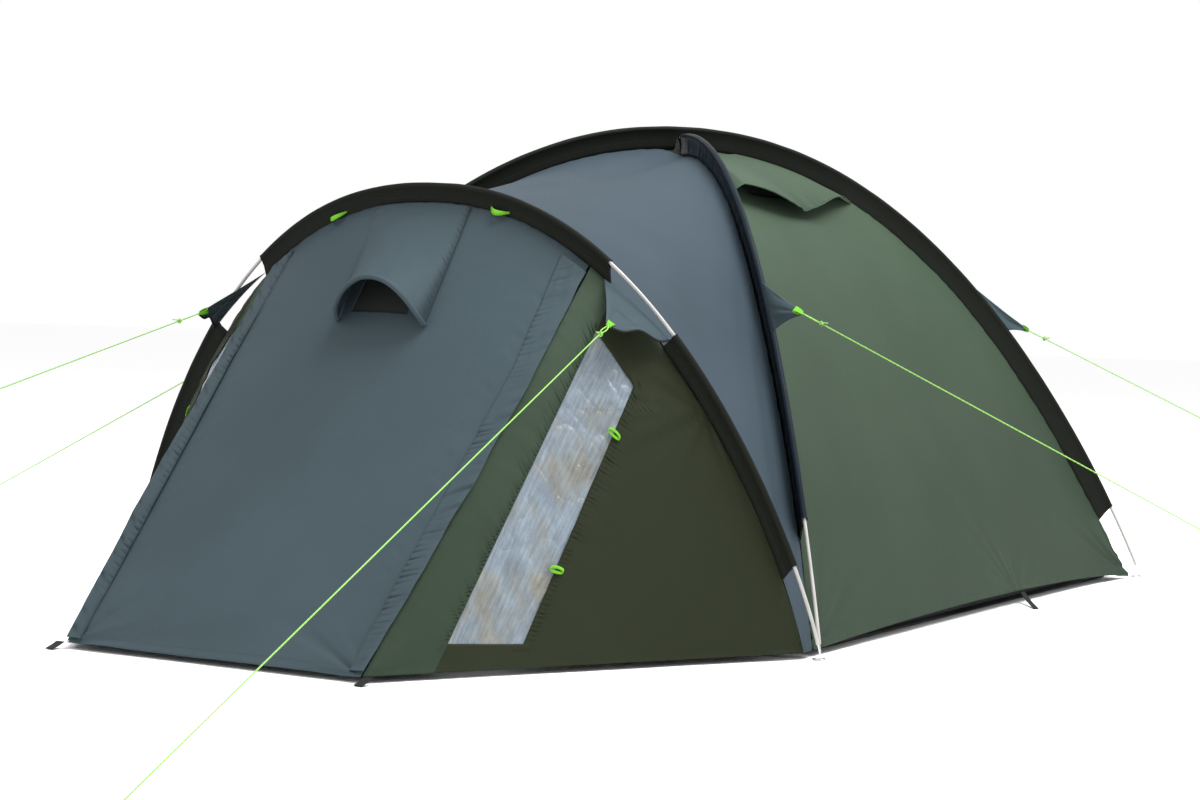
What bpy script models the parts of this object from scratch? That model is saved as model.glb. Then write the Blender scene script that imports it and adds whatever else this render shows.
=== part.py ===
"""A three-person dome tent with a front porch, pitched.

Two crossing poles carry the dome and a third, shorter pole carries the porch. The flysheet is sewn
from gores onto pole sleeves. An inner tent with a tub groundsheet stands inside it.
Metres, +Z up. The door faces -Y. The origin is on the ground, in the middle of the tent's box.
"""

import math

import bmesh
import bpy
import numpy as np
from mathutils import Matrix

# Driving dimensions
HEIGHT = 1.30  # the upper pole, at the crossing
HALF_WIDTH = 1.015  # of the four feet, left to right
HALF_LENGTH = 1.145  # of the four feet, front to back
DOME_Y = 0.479  # the crossing lies this far behind the origin
MAIN_CURVE = (2.12, 1.07)  # exponents of the bent main poles
ARCH_CURVE = (2.27, 1.27)  # exponents of the bent porch pole
ARCH_HEIGHT = 1.071
ARCH_APEX_Y = -1.288  # the porch pole leans forward, measured from the crossing
DOOR_TOP_HALF = 0.455
DOOR_FOOT_HALF = 0.405
DOOR_FOOT_Y = -2.070  # from the crossing
HEM_Z = 0.014
INNER_HALF_WIDTH = 0.93
INNER_HALF_LENGTH = 1.06
INNER_HEIGHT = 1.17
TUB_HEIGHT = 0.10

# Stock sizes
POLE_RADIUS = 0.00425
POLE_DROP = 0.022  # the lower main pole passes this far under the upper one
POLE_FOOT_Z = 0.036  # poles end here, on the pins
JOINT_GAP = 0.0005
PIN_RADIUS = 0.0022
RING_RADIUS = 0.014
RING_WIRE = 0.002
SLEEVE_DEPTH = 0.060  # the flat band under the pole's channel
SLEEVE_HALF_BAND = 0.0015
CHANNEL_RADIUS = 0.0055
SEAM_DEPTH = 0.056  # the gores are sewn this far inside the poles
ARCH_SLEEVE_DEPTH = 0.044  # the porch pole's band is narrower
ARCH_SEAM_DEPTH = 0.040
SEAM_GAP = 0.004  # from the band's middle to a gore's edge
FABRIC = 0.002
WINDOW_SHEET = 0.001
CORD_RADIUS = 0.0015

# Divisions
MAIN_STEPS = 26  # on half of a main pole
ARCH_STEPS = 40  # on the whole porch pole
SECTION_STEPS = 6  # the end section of each pole
FRONT_BARE_STEPS = 4  # bare pole under a front sleeve
REAR_BARE_STEPS = 3
ARCH_BARE_STEPS = 3
ARCH_GAP_STEPS = (10, 13)  # bare pole between the porch sleeves, from the foot

COLOURS = {
    "slate": (0.095, 0.128, 0.150),
    "roof": (0.125, 0.165, 0.195),
    "green": (0.110, 0.165, 0.120),
    "olive": (0.055, 0.080, 0.048),
    "black": (0.018, 0.022, 0.016),
    "inner": (0.55, 0.55, 0.50),
    "clear": (0.42, 0.50, 0.56),
    "fibreglass": (0.72, 0.73, 0.72),
    "steel": (0.55, 0.55, 0.55),
    "lime": (0.30, 0.72, 0.08),
}


# ---------------------------------------------------------------- scene


def clear_scene():
    for obj in list(bpy.data.objects):
        bpy.data.objects.remove(obj, do_unlink=True)


def new_collection(name):
    collection = bpy.data.collections.new(name)
    bpy.context.scene.collection.children.link(collection)
    return collection


def move_to(collection, obj):
    for old in list(obj.users_collection):
        old.objects.unlink(obj)
    collection.objects.link(obj)


def material(name, colour, roughness=0.7, metallic=0.0):
    made = bpy.data.materials.new(name)
    made.use_nodes = True
    shader = made.node_tree.nodes["Principled BSDF"]
    shader.inputs["Base Color"].default_value = (*COLOURS[colour], 1.0)
    shader.inputs["Roughness"].default_value = roughness
    shader.inputs["Metallic"].default_value = metallic
    return made


def add_object(name, data, look, roughness=0.7, metallic=0.0):
    obj = bpy.data.objects.new(name, data)
    TENT.objects.link(obj)
    obj.data.materials.append(material(name, look, roughness, metallic))
    return obj


# ---------------------------------------------------------------- geometry


def unit(vector):
    vector = np.asarray(vector, float)
    return vector / np.linalg.norm(vector)


def lerp(a, b, t):
    return np.asarray(a) + (np.asarray(b) - np.asarray(a)) * t


def resample(points, count):
    """The same line with its points evenly spaced."""
    points = np.asarray(points, float)
    lengths = np.linalg.norm(np.diff(points, axis=0), axis=1)
    distance = np.concatenate([[0.0], np.cumsum(lengths)])
    wanted = np.linspace(0.0, distance[-1], count)
    return np.stack([np.interp(wanted, distance, points[:, k]) for k in range(3)], axis=1)


def at_fraction(points, fraction):
    """The point this far along a line whose points are evenly spaced."""
    place = fraction * (len(points) - 1)
    index = min(int(place), len(points) - 2)
    return lerp(points[index], points[index + 1], place - index)


def bow(fraction, curve):
    """The height of a bent pole, as a share of its rise, at a share of its half span."""
    return (1.0 - min(abs(fraction), 1.0) ** curve[0]) ** (1.0 / curve[1])


def main_half(side_x, side_y, steps=MAIN_STEPS):
    """Half of a main pole, from the crossing to the foot at this corner."""
    height = HEIGHT if side_x == side_y else HEIGHT - POLE_DROP
    fractions = np.sin(np.linspace(0.0, math.pi / 2, 1500))
    line = [
        (side_x * HALF_WIDTH * f, DOME_Y + side_y * HALF_LENGTH * f, height * bow(f, MAIN_CURVE))
        for f in fractions
    ]
    return resample(line, steps + 1)


def main_plane(side_x, side_y, toward):
    """The level normal of a main pole's plane, on the side where this direction points."""
    normal = unit((side_y * HALF_LENGTH, -side_x * HALF_WIDTH, 0.0))
    return normal * math.copysign(1.0, normal @ np.asarray(toward, float))


def arch_line(steps=ARCH_STEPS):
    """The porch pole, from its left foot to its right foot."""
    fractions = np.sin(np.linspace(-math.pi / 2, math.pi / 2, 3001))
    line = []
    for f in fractions:
        rise = bow(f, ARCH_CURVE)
        y = DOME_Y - HALF_LENGTH + (ARCH_APEX_Y + HALF_LENGTH) * rise
        line.append((HALF_WIDTH * f, y, ARCH_HEIGHT * rise))
    return resample(line, steps + 1)


ARCH_UP = unit((0.0, ARCH_APEX_Y + HALF_LENGTH, ARCH_HEIGHT))
ARCH_PLANE = np.cross((1.0, 0.0, 0.0), ARCH_UP)  # points forward


def outward(points, plane_normal):
    """For each point of a bent pole, the direction in its plane that points away from the tent."""
    tangents = np.gradient(points, axis=0)
    normals = np.cross(tangents, plane_normal)
    normals /= np.linalg.norm(normals, axis=1)[:, None]
    middle = np.array([0.0, DOME_Y - 0.3, 0.0])
    if ((points - middle) * normals).sum() < 0.0:
        normals = -normals
    return normals


def seam(points, plane_normal, aside=0.0, depth=SEAM_DEPTH):
    """A gore's edge: inside a pole by this depth, and aside from the sleeve's band."""
    return points - outward(points, plane_normal) * depth + np.asarray(plane_normal) * aside


def above(points, height, steps):
    """The part of a line above this height, evenly spaced."""
    fine = resample(points, 800)
    return resample(fine[fine[:, 2] >= height], steps + 1)


def trimmed_foot(points):
    """The same pole, whose first point is moved up it to the top of the pin."""
    points = points.copy()
    share = (POLE_FOOT_Z - points[0][2]) / (points[1][2] - points[0][2])
    points[0] = lerp(points[0], points[1], share)
    return points


def pole_line(start, end):
    """A whole main pole between two opposite corners."""
    there = main_half(*start)[::-1]
    back = main_half(*end)[1:]
    return np.concatenate([there, back])


# ---------------------------------------------------------------- solids


def mesh_object(name, points, faces, look, roughness=0.7):
    data = bpy.data.meshes.new(name)
    data.from_pydata([tuple(map(float, p)) for p in points], [], faces)
    builder = bmesh.new()
    builder.from_mesh(data)
    bmesh.ops.recalc_face_normals(builder, faces=builder.faces)
    builder.to_mesh(data)
    builder.free()
    data.shade_smooth()
    return add_object(name, data, look, roughness)


def sheet(name, rows, look, thickness=FABRIC, holes=(), roughness=0.7, offset=0.0):
    """A sewn panel: a grid of points made into a shell, without the cells listed as holes."""
    width = len(rows[0])
    points = [p for row in rows for p in row]
    faces = []
    for i in range(len(rows) - 1):
        for j in range(width - 1):
            if (i, j) not in holes:
                k = i * width + j
                faces.append((k, k + 1, k + width + 1, k + width))
    obj = mesh_object(name, points, faces, look, roughness)
    builder = bmesh.new()
    builder.from_mesh(obj.data)
    loose = [v for v in builder.verts if not v.link_faces]
    bmesh.ops.delete(builder, geom=loose, context="VERTS")
    builder.to_mesh(obj.data)
    builder.free()
    shell = obj.modifiers.new("fabric", "SOLIDIFY")
    shell.thickness = thickness
    shell.offset = offset
    return obj


def tube(name, points, radius, look, roughness=0.5, metallic=0.0, detail=2):
    curve = bpy.data.curves.new(name, "CURVE")
    curve.dimensions = "3D"
    curve.bevel_depth = radius
    curve.bevel_resolution = detail
    curve.use_fill_caps = True
    spline = curve.splines.new("POLY")
    spline.points.add(len(points) - 1)
    for target, p in zip(spline.points, points):
        target.co = (*map(float, p), 1.0)
    return add_object(name, curve, look, roughness, metallic)


def sleeve(name, points, plane_normal, look, band=SLEEVE_DEPTH, shallow_at=None):
    """A pole sleeve: a channel round the pole that runs into a flat band on its inner side."""
    outside = [(0.0, 0.0082), (0.0074, 0.0016), (SLEEVE_HALF_BAND, -0.015), (SLEEVE_HALF_BAND, None)]
    outside += [(-b, n) for b, n in reversed(outside[1:])]
    angles = [math.radians(a) for a in (90, 30, -35, -80, -100, -145, 150)]
    inside = [(CHANNEL_RADIUS * math.cos(a), CHANNEL_RADIUS * math.sin(a)) for a in angles]
    normals = outward(points, plane_normal)
    count = len(outside)
    vertices = []
    for i, (p, n) in enumerate(zip(points, normals)):
        depth = 0.0165 if i == shallow_at else band
        for b, up in outside:
            vertices.append(p + plane_normal * b + n * (-depth if up is None else up))
        for b, up in inside:
            vertices.append(p + plane_normal * b + n * up)
    faces = []
    ring = 2 * count
    for i in range(len(points) - 1):
        for j in range(count):
            k = (j + 1) % count
            a, b = i * ring, (i + 1) * ring
            faces.append((a + j, a + k, b + k, b + j))
            faces.append((a + count + j, b + count + j, b + count + k, a + count + k))
    for a in (0, (len(points) - 1) * ring):
        for j in range(count):
            k = (j + 1) % count
            faces.append((a + j, a + k, a + count + k, a + count + j))
    return mesh_object(name, vertices, faces, look)


def turned(name, profile, place, direction, look, roughness=0.4, metallic=0.0):
    """A round solid from its closed profile of (radius, height), turned about this direction."""
    data = bpy.data.meshes.new(name)
    edges = [(i, (i + 1) % len(profile)) for i in range(len(profile))]
    data.from_pydata([(r, 0.0, h) for r, h in profile], edges, [])
    obj = add_object(name, data, look, roughness, metallic)
    screw = obj.modifiers.new("turn", "SCREW")
    screw.steps = 14
    screw.render_steps = 14
    screw.use_merge_vertices = True
    screw.merge_threshold = 0.0001
    obj.matrix_world = Matrix.Translation(place) @ rotation_to(direction)
    return obj


def rotation_to(direction):
    """The 4x4 rotation that takes +Z to this direction."""
    z_axis = unit(direction)
    x_axis = unit(np.cross((0.3, 1.0, 0.2), z_axis))
    y_axis = np.cross(z_axis, x_axis)
    return Matrix(np.stack([x_axis, y_axis, z_axis], axis=1).tolist()).to_4x4()


def hang(name, place, *pieces):
    """Parents moving pieces to an empty on their hinge. They stay where they are."""
    hinge = bpy.data.objects.new(name, None)
    hinge.location = place
    TENT.objects.link(hinge)
    for piece in pieces:
        obj = bpy.data.objects[piece]
        obj.parent = hinge
        obj.matrix_parent_inverse = Matrix.Translation([-x for x in place])


# ---------------------------------------------------------------- poles and sleeves

FRONT_LEFT, FRONT_RIGHT = (-1, -1), (1, -1)
REAR_LEFT, REAR_RIGHT = (-1, 1), (1, 1)
FORWARD, BACKWARD = (0.0, -1.0, 0.0), (0.0, 1.0, 0.0)
LEFTWARD, RIGHTWARD = (-1.0, 0.0, 0.0), (1.0, 0.0, 0.0)


def make_pole(names, line):
    """A pole in three lengths: an end section at each foot, and the joined sections between."""
    line = trimmed_foot(trimmed_foot(line)[::-1])[::-1]
    last = len(line) - 1
    cuts = (0, SECTION_STEPS, last - SECTION_STEPS, last)
    for name, first, end in zip(names, cuts[:-1], cuts[1:]):
        points = line[first : end + 1].copy()
        if first > 0:
            points[0] += unit(points[1] - points[0]) * JOINT_GAP
        if end < last:
            points[-1] -= unit(points[-1] - points[-2]) * JOINT_GAP
        tube(name, points, POLE_RADIUS, "fibreglass")


def make_poles():
    upper = pole_line(FRONT_LEFT, REAR_RIGHT)
    lower = pole_line(FRONT_RIGHT, REAR_LEFT)
    ends = ("front", "middle", "rear")
    make_pole([f"main_pole_upper_{end}" for end in ends], upper)
    make_pole([f"main_pole_lower_{end}" for end in ends], lower)
    make_pole(["porch_pole_left", "porch_pole_top", "porch_pole_right"], arch_line())


def make_main_sleeves():
    upper = pole_line(FRONT_LEFT, REAR_RIGHT)
    plane = main_plane(*REAR_RIGHT, FORWARD)
    part = upper[FRONT_BARE_STEPS : len(upper) - REAR_BARE_STEPS]
    sleeve("sleeve_upper", part, plane, "black", shallow_at=MAIN_STEPS - FRONT_BARE_STEPS)
    front = main_half(*FRONT_RIGHT)[1 : MAIN_STEPS - FRONT_BARE_STEPS + 1]
    rear = main_half(*REAR_LEFT)[1 : MAIN_STEPS - REAR_BARE_STEPS + 1]
    plane = main_plane(*FRONT_RIGHT, FORWARD)
    sleeve("sleeve_lower_front", front, plane, "roof")
    sleeve("sleeve_lower_rear", rear, plane, "black")


def make_porch_sleeves():
    arch = arch_line()
    low, high = ARCH_GAP_STEPS
    right = arch[ARCH_STEPS - low : ARCH_STEPS - ARCH_BARE_STEPS + 1]
    sleeve("porch_sleeve_left", arch[ARCH_BARE_STEPS : low + 1], ARCH_PLANE, "black", ARCH_SLEEVE_DEPTH)
    sleeve("porch_sleeve_top", arch[high : ARCH_STEPS - high + 1], ARCH_PLANE, "black", ARCH_SLEEVE_DEPTH)
    sleeve("porch_sleeve_right", right, ARCH_PLANE, "black", ARCH_SLEEVE_DEPTH)


def pin(foot, upward):
    """A steel pin that stands on a corner ring, in line with its pole."""
    length = (POLE_FOOT_Z - JOINT_GAP - 0.001) / upward[2]
    bpy.ops.mesh.primitive_cylinder_add(vertices=10, radius=PIN_RADIUS, depth=length)
    obj = bpy.context.object
    middle = np.array(foot) + upward * length / 2 + (0.0, 0.0, 0.001)
    obj.matrix_world = Matrix.Translation(middle.tolist()) @ rotation_to(upward)
    return obj


def make_corner_ring(name, side_x, side_y):
    """The ring sewn to a corner of the groundsheet, with a pin for each pole that ends there."""
    foot = np.array([side_x * HALF_WIDTH, DOME_Y + side_y * HALF_LENGTH, 0.0])
    inward = -unit((side_x * HALF_WIDTH, side_y * HALF_LENGTH, 0.0))
    centre = foot + inward * RING_RADIUS + (0.0, 0.0, RING_WIRE)
    bpy.ops.mesh.primitive_torus_add(
        major_radius=RING_RADIUS,
        minor_radius=RING_WIRE,
        major_segments=16,
        minor_segments=8,
        location=centre.tolist(),
    )
    ring = bpy.context.object
    lines = [main_half(side_x, side_y)[::-1]]
    if side_y < 0:
        lines.append(arch_line()[:: -side_x])
    for line in lines:
        stub = pin(foot, unit(line[1] - line[0]))
        move_to(CUTTERS, stub)
        stub.hide_render = True
        stub.display_type = "WIRE"
        join = ring.modifiers.new("pin", "BOOLEAN")
        join.operation = "UNION"
        join.object = stub
    ring.name = name
    ring.data.materials.append(material(name, "steel", 0.35, 1.0))
    move_to(TENT, ring)


# ---------------------------------------------------------------- flysheet

GORE_STEPS = 14
GORE_WIDTH = 8
GORE_START = 0.03  # share of the way down from the crossing


def gore_rows(left, right, toward, sag=0.030, hem_rise=0.022, steps=GORE_STEPS):
    """A gore between two half poles: level lines across it, drawn in a little between them."""
    edges = []
    normals = []
    for corner in (left, right):
        line = main_half(*corner)
        edge = seam(line, main_plane(*corner, toward), SEAM_GAP)
        edge = edge[edge[:, 2].argsort()[::-1]]
        fine = above(edge, HEM_Z, 400)
        edges.append(resample(fine[int(GORE_START * 400) :], steps + 1))
        normals.append(resample(outward(line, main_plane(*corner, toward)), steps + 1))
    rows = []
    for i in range(steps + 1):
        normal = unit(normals[0][i] + normals[1][i])
        drawn = sag * math.sin(math.pi * (i / steps) ** 0.8) ** 0.7 if 0 < i < steps else 0.0
        row = []
        for j in range(GORE_WIDTH + 1):
            v = j / GORE_WIDTH
            belly = 4.0 * v * (1.0 - v)
            point = lerp(edges[0][i], edges[1][i], v) - normal * drawn * belly
            point[2] += hem_rise * belly * (i / steps) ** 6
            row.append(point)
        rows.append(row)
    return rows


def make_gores():
    vent = [(i, j) for i in (1, 2) for j in (2, 3, 4, 5)]
    sheet("fly_right_gore", gore_rows(FRONT_RIGHT, REAR_RIGHT, RIGHTWARD), "green", holes=vent)
    sheet("fly_left_gore", gore_rows(FRONT_LEFT, REAR_LEFT, LEFTWARD), "green", holes=vent)
    sheet("fly_rear_gore", gore_rows(REAR_LEFT, REAR_RIGHT, BACKWARD), "slate")


def roof_halves(steps):
    """The edges of half the roof for each side: along the main pole, and along the porch pole."""
    arch = seam(arch_line(), ARCH_PLANE, -SEAM_GAP, ARCH_SEAM_DEPTH)
    halves = []
    for corner in (FRONT_LEFT, FRONT_RIGHT):
        edge = seam(main_half(*corner), main_plane(*corner, FORWARD), SEAM_GAP)
        main = above(edge, HEM_Z, 400)[int(GORE_START * 400) :]
        half = arch[: ARCH_STEPS // 2 + 1][::-1] if corner[0] < 0 else arch[ARCH_STEPS // 2 :]
        halves.append((resample(main, steps + 1), above(half, HEM_Z, steps)))
    return halves


def make_roof():
    steps = 15
    across = 6
    rows = []
    for side, (main, arch) in enumerate(roof_halves(steps)):
        half = []
        for i in range(steps + 1):
            row = []
            for j in range(across + 1):
                v = j / across
                point = lerp(main[i], arch[i], v)
                point[2] -= 0.022 * 4.0 * v * (1.0 - v) * math.cos(math.pi / 2 * i / steps)
                row.append(point)
            half.append(row)
        rows += half[::-1] if side == 0 else half
    middle = steps
    rows[middle] = [lerp(a, b, 0.5) for a, b in zip(rows[middle], rows[middle + 1])]
    del rows[middle + 1]
    sheet("fly_roof_gore", rows, "roof")


def arch_seam(side):
    """The seam of the porch panels on the front of the porch pole's band, from apex to foot."""
    arch = seam(arch_line(), ARCH_PLANE, SEAM_GAP, ARCH_SEAM_DEPTH)
    half = arch[ARCH_STEPS // 2 :] if side > 0 else arch[: ARCH_STEPS // 2 + 1][::-1]
    return resample(half, 600)


def door_corner(side):
    return np.array([side * DOOR_FOOT_HALF, DOME_Y + DOOR_FOOT_Y, HEM_Z])


WINDOW_U = (0.08, 0.22)
WINDOW_W = (0.11, 0.93)


def porch_side_point(side, u, w):
    """A point of a porch side: u runs back from the door's edge, w down from the porch pole."""
    line = arch_seam(side)
    line = line[(np.abs(line[:, 0]) >= DOOR_TOP_HALF) & (line[:, 2] >= HEM_Z)]
    top = at_fraction(line, u)
    hem = lerp(door_corner(side), line[-1], u**0.75)
    return lerp(top, hem, w)


def porch_side_rows(side, stations_u, stations_w):
    return [[porch_side_point(side, u, w) for u in stations_u] for w in stations_w]


def make_porch_sides():
    u_edge, w_edge = 0.004, 0.0015
    u_pane = np.linspace(WINDOW_U[0] + u_edge, WINDOW_U[1] - u_edge, 4)
    w_pane = np.linspace(WINDOW_W[0] + w_edge, WINDOW_W[1] - w_edge, 7)
    stations_u = (0.0, 0.04, *np.linspace(*WINDOW_U, 4), 0.31, 0.42, 0.55, 0.70, 0.85, 0.97)
    stations_w = (0.0, *np.linspace(*WINDOW_W, 7), 1.0)
    window = [(i, j) for i in range(1, 7) for j in range(2, 5)]
    for name, side in (("left", -1), ("right", 1)):
        rows = porch_side_rows(side, stations_u, stations_w)
        sheet(f"porch_side_{name}", rows, "olive", holes=window)
        rows = porch_side_rows(side, u_pane, w_pane)
        sheet(f"porch_window_{name}", rows, "clear", WINDOW_SHEET, roughness=0.2)


# ---------------------------------------------------------------- door

DOOR_GAP = 0.004
DOOR_VENT_V = 0.18
HOOD_TOP_V, HOOD_BRIM_V = 0.30, 0.28
HOOD_LENGTH = 0.255  # share of the door's height
HOOD_RECESS = 0.04  # the middle of the brim lies this much higher
TOGGLE_V = 0.53
DOOR_HINGE = np.array([0.0, DOME_Y + ARCH_APEX_Y, 1.028])


def door_point(v, w, raised=0.0):
    """A point of the door: v runs from its left edge at -1 to its right edge at 1, w down it."""
    half_top = DOOR_TOP_HALF - DOOR_GAP
    half_foot = DOOR_FOOT_HALF - DOOR_GAP
    line = arch_seam(1)
    x = abs(v) * half_top
    top = np.array([v * half_top, *(np.interp(x, line[:, 0], line[:, k]) for k in (1, 2))])
    foot = np.array([v * half_foot, DOME_Y + DOOR_FOOT_Y, HEM_Z])
    slope = unit(foot - top)
    normal = unit(np.cross(slope, (1.0, 0.0, 0.0)))
    if normal[1] > 0.0:
        normal = -normal
    return lerp(top, foot, w) + normal * raised


def door_rows(stations_v, stations_w, raised=lambda v, w: 0.0):
    return [[door_point(v, w, raised(v, w)) for v in stations_v] for w in stations_w]


def make_door():
    stations_v = (-1.0, -0.72, -0.45, -DOOR_VENT_V, 0.0, DOOR_VENT_V, 0.45, 0.72, 1.0)
    stations_w = (0.0, 0.06, 0.12, 0.18, 0.235, 0.40, 0.60, 0.80, 1.0)
    vent = [(i, j) for i in (2, 3) for j in (3, 4)]
    sheet("door_panel", door_rows(stations_v, stations_w), "slate", holes=vent)
    stations_w = np.linspace(0.02, 0.985, 9)
    for name, side in (("left", -1), ("right", 1)):
        stations_v = [side * v for v in (0.87, 0.94, 1.02)]
        rows = door_rows(stations_v, stations_w, lambda v, w: 0.005)
        sheet(f"door_storm_flap_{name}", rows, "slate")


def hood_rise(across, down):
    """How far the door's vent hood stands off the door."""
    return 0.006 + 0.090 * down**1.6 * math.sqrt(max(0.0, 1.0 - across**2))


def make_door_hood():
    rows = []
    for i in range(7):
        down = i / 6
        half = HOOD_TOP_V + (HOOD_BRIM_V - HOOD_TOP_V) * down
        row = []
        for j in range(11):
            across = -math.cos(math.pi * j / 10)
            w = 0.015 + (HOOD_LENGTH - HOOD_RECESS * (1.0 - across**2)) * down
            row.append(door_point(half * across, w, hood_rise(across, down)))
        rows.append(row)
    sheet("door_vent_hood", rows, "slate")


def make_toggles():
    """The two loops at the door's head that hold it when it is rolled up."""
    for name, side in (("left", -1), ("right", 1)):
        rows = []
        middle = side * TOGGLE_V
        for w in (0.004, 0.020, 0.036):
            rows.append([door_point(middle + dv, w, 0.006) for dv in (-0.022, 0.022)])
        sheet(f"door_toggle_{name}", rows, "lime")


def door_edge(side):
    """The straight line of the zip, from the door's foot to its head."""
    return porch_side_point(side, 0.0, 0.97), porch_side_point(side, 0.0, 0.03)


def make_zip_sliders():
    for name, side in (("left", -1), ("right", 1)):
        foot, head = door_edge(side)
        along = unit(head - foot)
        across = unit(np.cross(along, (side * 0.45, -0.6, 0.55)))
        behind = np.cross(across, along)
        if behind[1] < 0.0:
            behind = -behind
        middle = foot + along * 0.02 + behind * 0.0105
        bpy.ops.mesh.primitive_cube_add(size=1.0)
        obj = bpy.context.object
        obj.name = f"zip_slider_{name}"
        obj.data.transform(Matrix.Diagonal((0.010, 0.005, 0.028, 1.0)))
        axes = Matrix(np.stack([across, behind, along], axis=1).tolist()).to_4x4()
        obj.matrix_world = Matrix.Translation(middle.tolist()) @ axes
        rounded = obj.modifiers.new("edges", "BEVEL")
        rounded.width = 0.0012
        rounded.segments = 1
        obj.data.materials.append(material(obj.name, "black", 0.4))
        move_to(TENT, obj)


# ---------------------------------------------------------------- side vents

VENT_ROWS = 56  # level lines down a gore, of which a hood covers a few
VENT_TOP_ROW, VENT_BRIM_ROW = 3, 15


def make_side_vents():
    """Hoods over the mesh near the crossing. Each is free along its lower brim."""
    for name, left, right, toward in (
        ("left", FRONT_LEFT, REAR_LEFT, LEFTWARD),
        ("right", FRONT_RIGHT, REAR_RIGHT, RIGHTWARD),
    ):
        base = gore_rows(left, right, toward, sag=0.0, steps=VENT_ROWS)
        normals = resample(outward(main_half(*left), main_plane(*left, toward)), VENT_ROWS + 1)
        rows = []
        for i in range(VENT_TOP_ROW, VENT_BRIM_ROW + 1, 2):
            down = (i - VENT_TOP_ROW) / (VENT_BRIM_ROW - VENT_TOP_ROW)
            away = unit(normals[i] * (1.0, 0.0, 1.0))
            row = []
            for j in range(GORE_WIDTH + 1):
                v = 0.03 + 0.94 * j / GORE_WIDTH
                place = v * GORE_WIDTH
                k = min(int(place), GORE_WIDTH - 1)
                point = lerp(base[i][k], base[i][k + 1], place - k)
                row.append(point + away * (0.005 + 0.040 * down**1.3 * math.sin(math.pi * v) ** 0.6))
            rows.append(row)
        sheet(f"side_vent_hood_{name}", rows, "green")
        head = np.mean(base[VENT_TOP_ROW], axis=0)
        hang(f"side_vent_hinge_{name}", (head[0], DOME_Y, head[2]), f"side_vent_hood_{name}")


# ---------------------------------------------------------------- inner tent


def inner_share(height):
    """The inner tent's half width at this height, as a share of that at the ground."""
    return (1.0 - (height / INNER_HEIGHT) ** MAIN_CURVE[1]) ** (1.0 / MAIN_CURVE[0])


INNER_LEVELS = (0.103, 0.135, 0.28, 0.43, 0.58, 0.73, 0.86, 0.97, 1.06, 1.12, 1.155)
INNER_DOOR_LEVELS = (1, 5)  # the door's foot and head, in the list above
INNER_DOOR_HALF = 0.36


def inner_ring(height):
    """One level ring of the inner tent, anticlockwise from its front left corner."""
    share = inner_share(height)
    a, b = INNER_HALF_WIDTH * share, INNER_HALF_LENGTH * share
    door = min(INNER_DOOR_HALF, 0.8 * a)
    front = [-a, -door, -door / 2, 0.0, door / 2, door]
    ring = [(x, -b) for x in front]
    ring += [(a, b * t) for t in (-1.0, -0.5, 0.0, 0.5)]
    ring += [(a * t, b) for t in (1.0, 0.5, 0.0, -0.5)]
    ring += [(-a, b * t) for t in (1.0, 0.5, 0.0, -0.5)]
    return [np.array([x, DOME_Y + y, height]) for x, y in ring]


def make_inner_tent():
    rings = [inner_ring(z) for z in INNER_LEVELS]
    for ring in rings:
        ring.append(ring[0].copy())
    low, high = INNER_DOOR_LEVELS
    doorway = [(i, j) for i in range(low, high) for j in (1, 2, 3, 4)]
    obj = sheet("inner_tent", rings, "inner", holes=doorway)
    builder = bmesh.new()
    builder.from_mesh(obj.data)
    bmesh.ops.remove_doubles(builder, verts=builder.verts, dist=0.0001)
    top = [v for v in builder.verts if v.co.z > INNER_LEVELS[-1] - 0.001]
    bmesh.ops.contextual_create(builder, geom=top)
    bmesh.ops.recalc_face_normals(builder, faces=builder.faces)
    builder.to_mesh(obj.data)
    builder.free()


def make_inner_door():
    low, high = INNER_DOOR_LEVELS
    gap = 0.003
    levels = list(INNER_LEVELS[low : high + 1])
    levels[0] += gap
    levels[-1] -= gap
    rows = []
    for z in levels:
        y = DOME_Y - INNER_HALF_LENGTH * inner_share(z)
        half = INNER_DOOR_HALF - gap
        rows.append([np.array([half * t, y, z]) for t in (-1.0, -0.5, 0.0, 0.5, 1.0)])
    sheet("inner_door", rows, "inner")
    foot = INNER_LEVELS[low]
    front = DOME_Y - INNER_HALF_LENGTH * inner_share(foot)
    hang("inner_door_hinge", (0.0, front, foot), "inner_door")


def make_groundsheet():
    rings = [inner_ring(z) for z in (0.0, 0.05, TUB_HEIGHT)]
    width = len(rings[0])
    points = [p for ring in rings for p in ring]
    faces = [tuple(range(width))[::-1]]
    for i in range(len(rings) - 1):
        for j in range(width):
            k = (j + 1) % width
            faces.append((i * width + j, i * width + k, (i + 1) * width + k, (i + 1) * width + j))
    obj = mesh_object("groundsheet_tub", points, faces, "black", 0.5)
    shell = obj.modifiers.new("sheet", "SOLIDIFY")
    shell.thickness = FABRIC
    shell.offset = -1.0


# ---------------------------------------------------------------- loops, tabs and guylines


HEM_LOOP_WIDTH = 0.014


def make_ground_loops():
    for name, side in (("left", -1), ("right", 1)):
        x, y, _ = door_corner(side)
        rows = [
            [np.array([x + side * (0.006 + dx), y - 0.004 - run, z]) for dx in (0.0, 0.022)]
            for run, z in ((0.0, HEM_Z), (0.016, 0.007), (0.034, 0.0015))
        ]
        sheet(f"door_corner_loop_{name}", rows, "black")
        start = np.array([side * 0.990, DOME_Y + 0.225, 0.026])
        end = np.array([side * 1.058, DOME_Y + 0.125, 0.0015])
        run = end - start
        across = unit((-run[1], run[0], 0.0)) * HEM_LOOP_WIDTH / 2
        middle = start + run * 0.45 - (0.0, 0.0, 0.004)
        rows = [[point - across, point + across] for point in (start, middle, end)]
        sheet(f"hem_loop_{name}", rows, "black")


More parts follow.
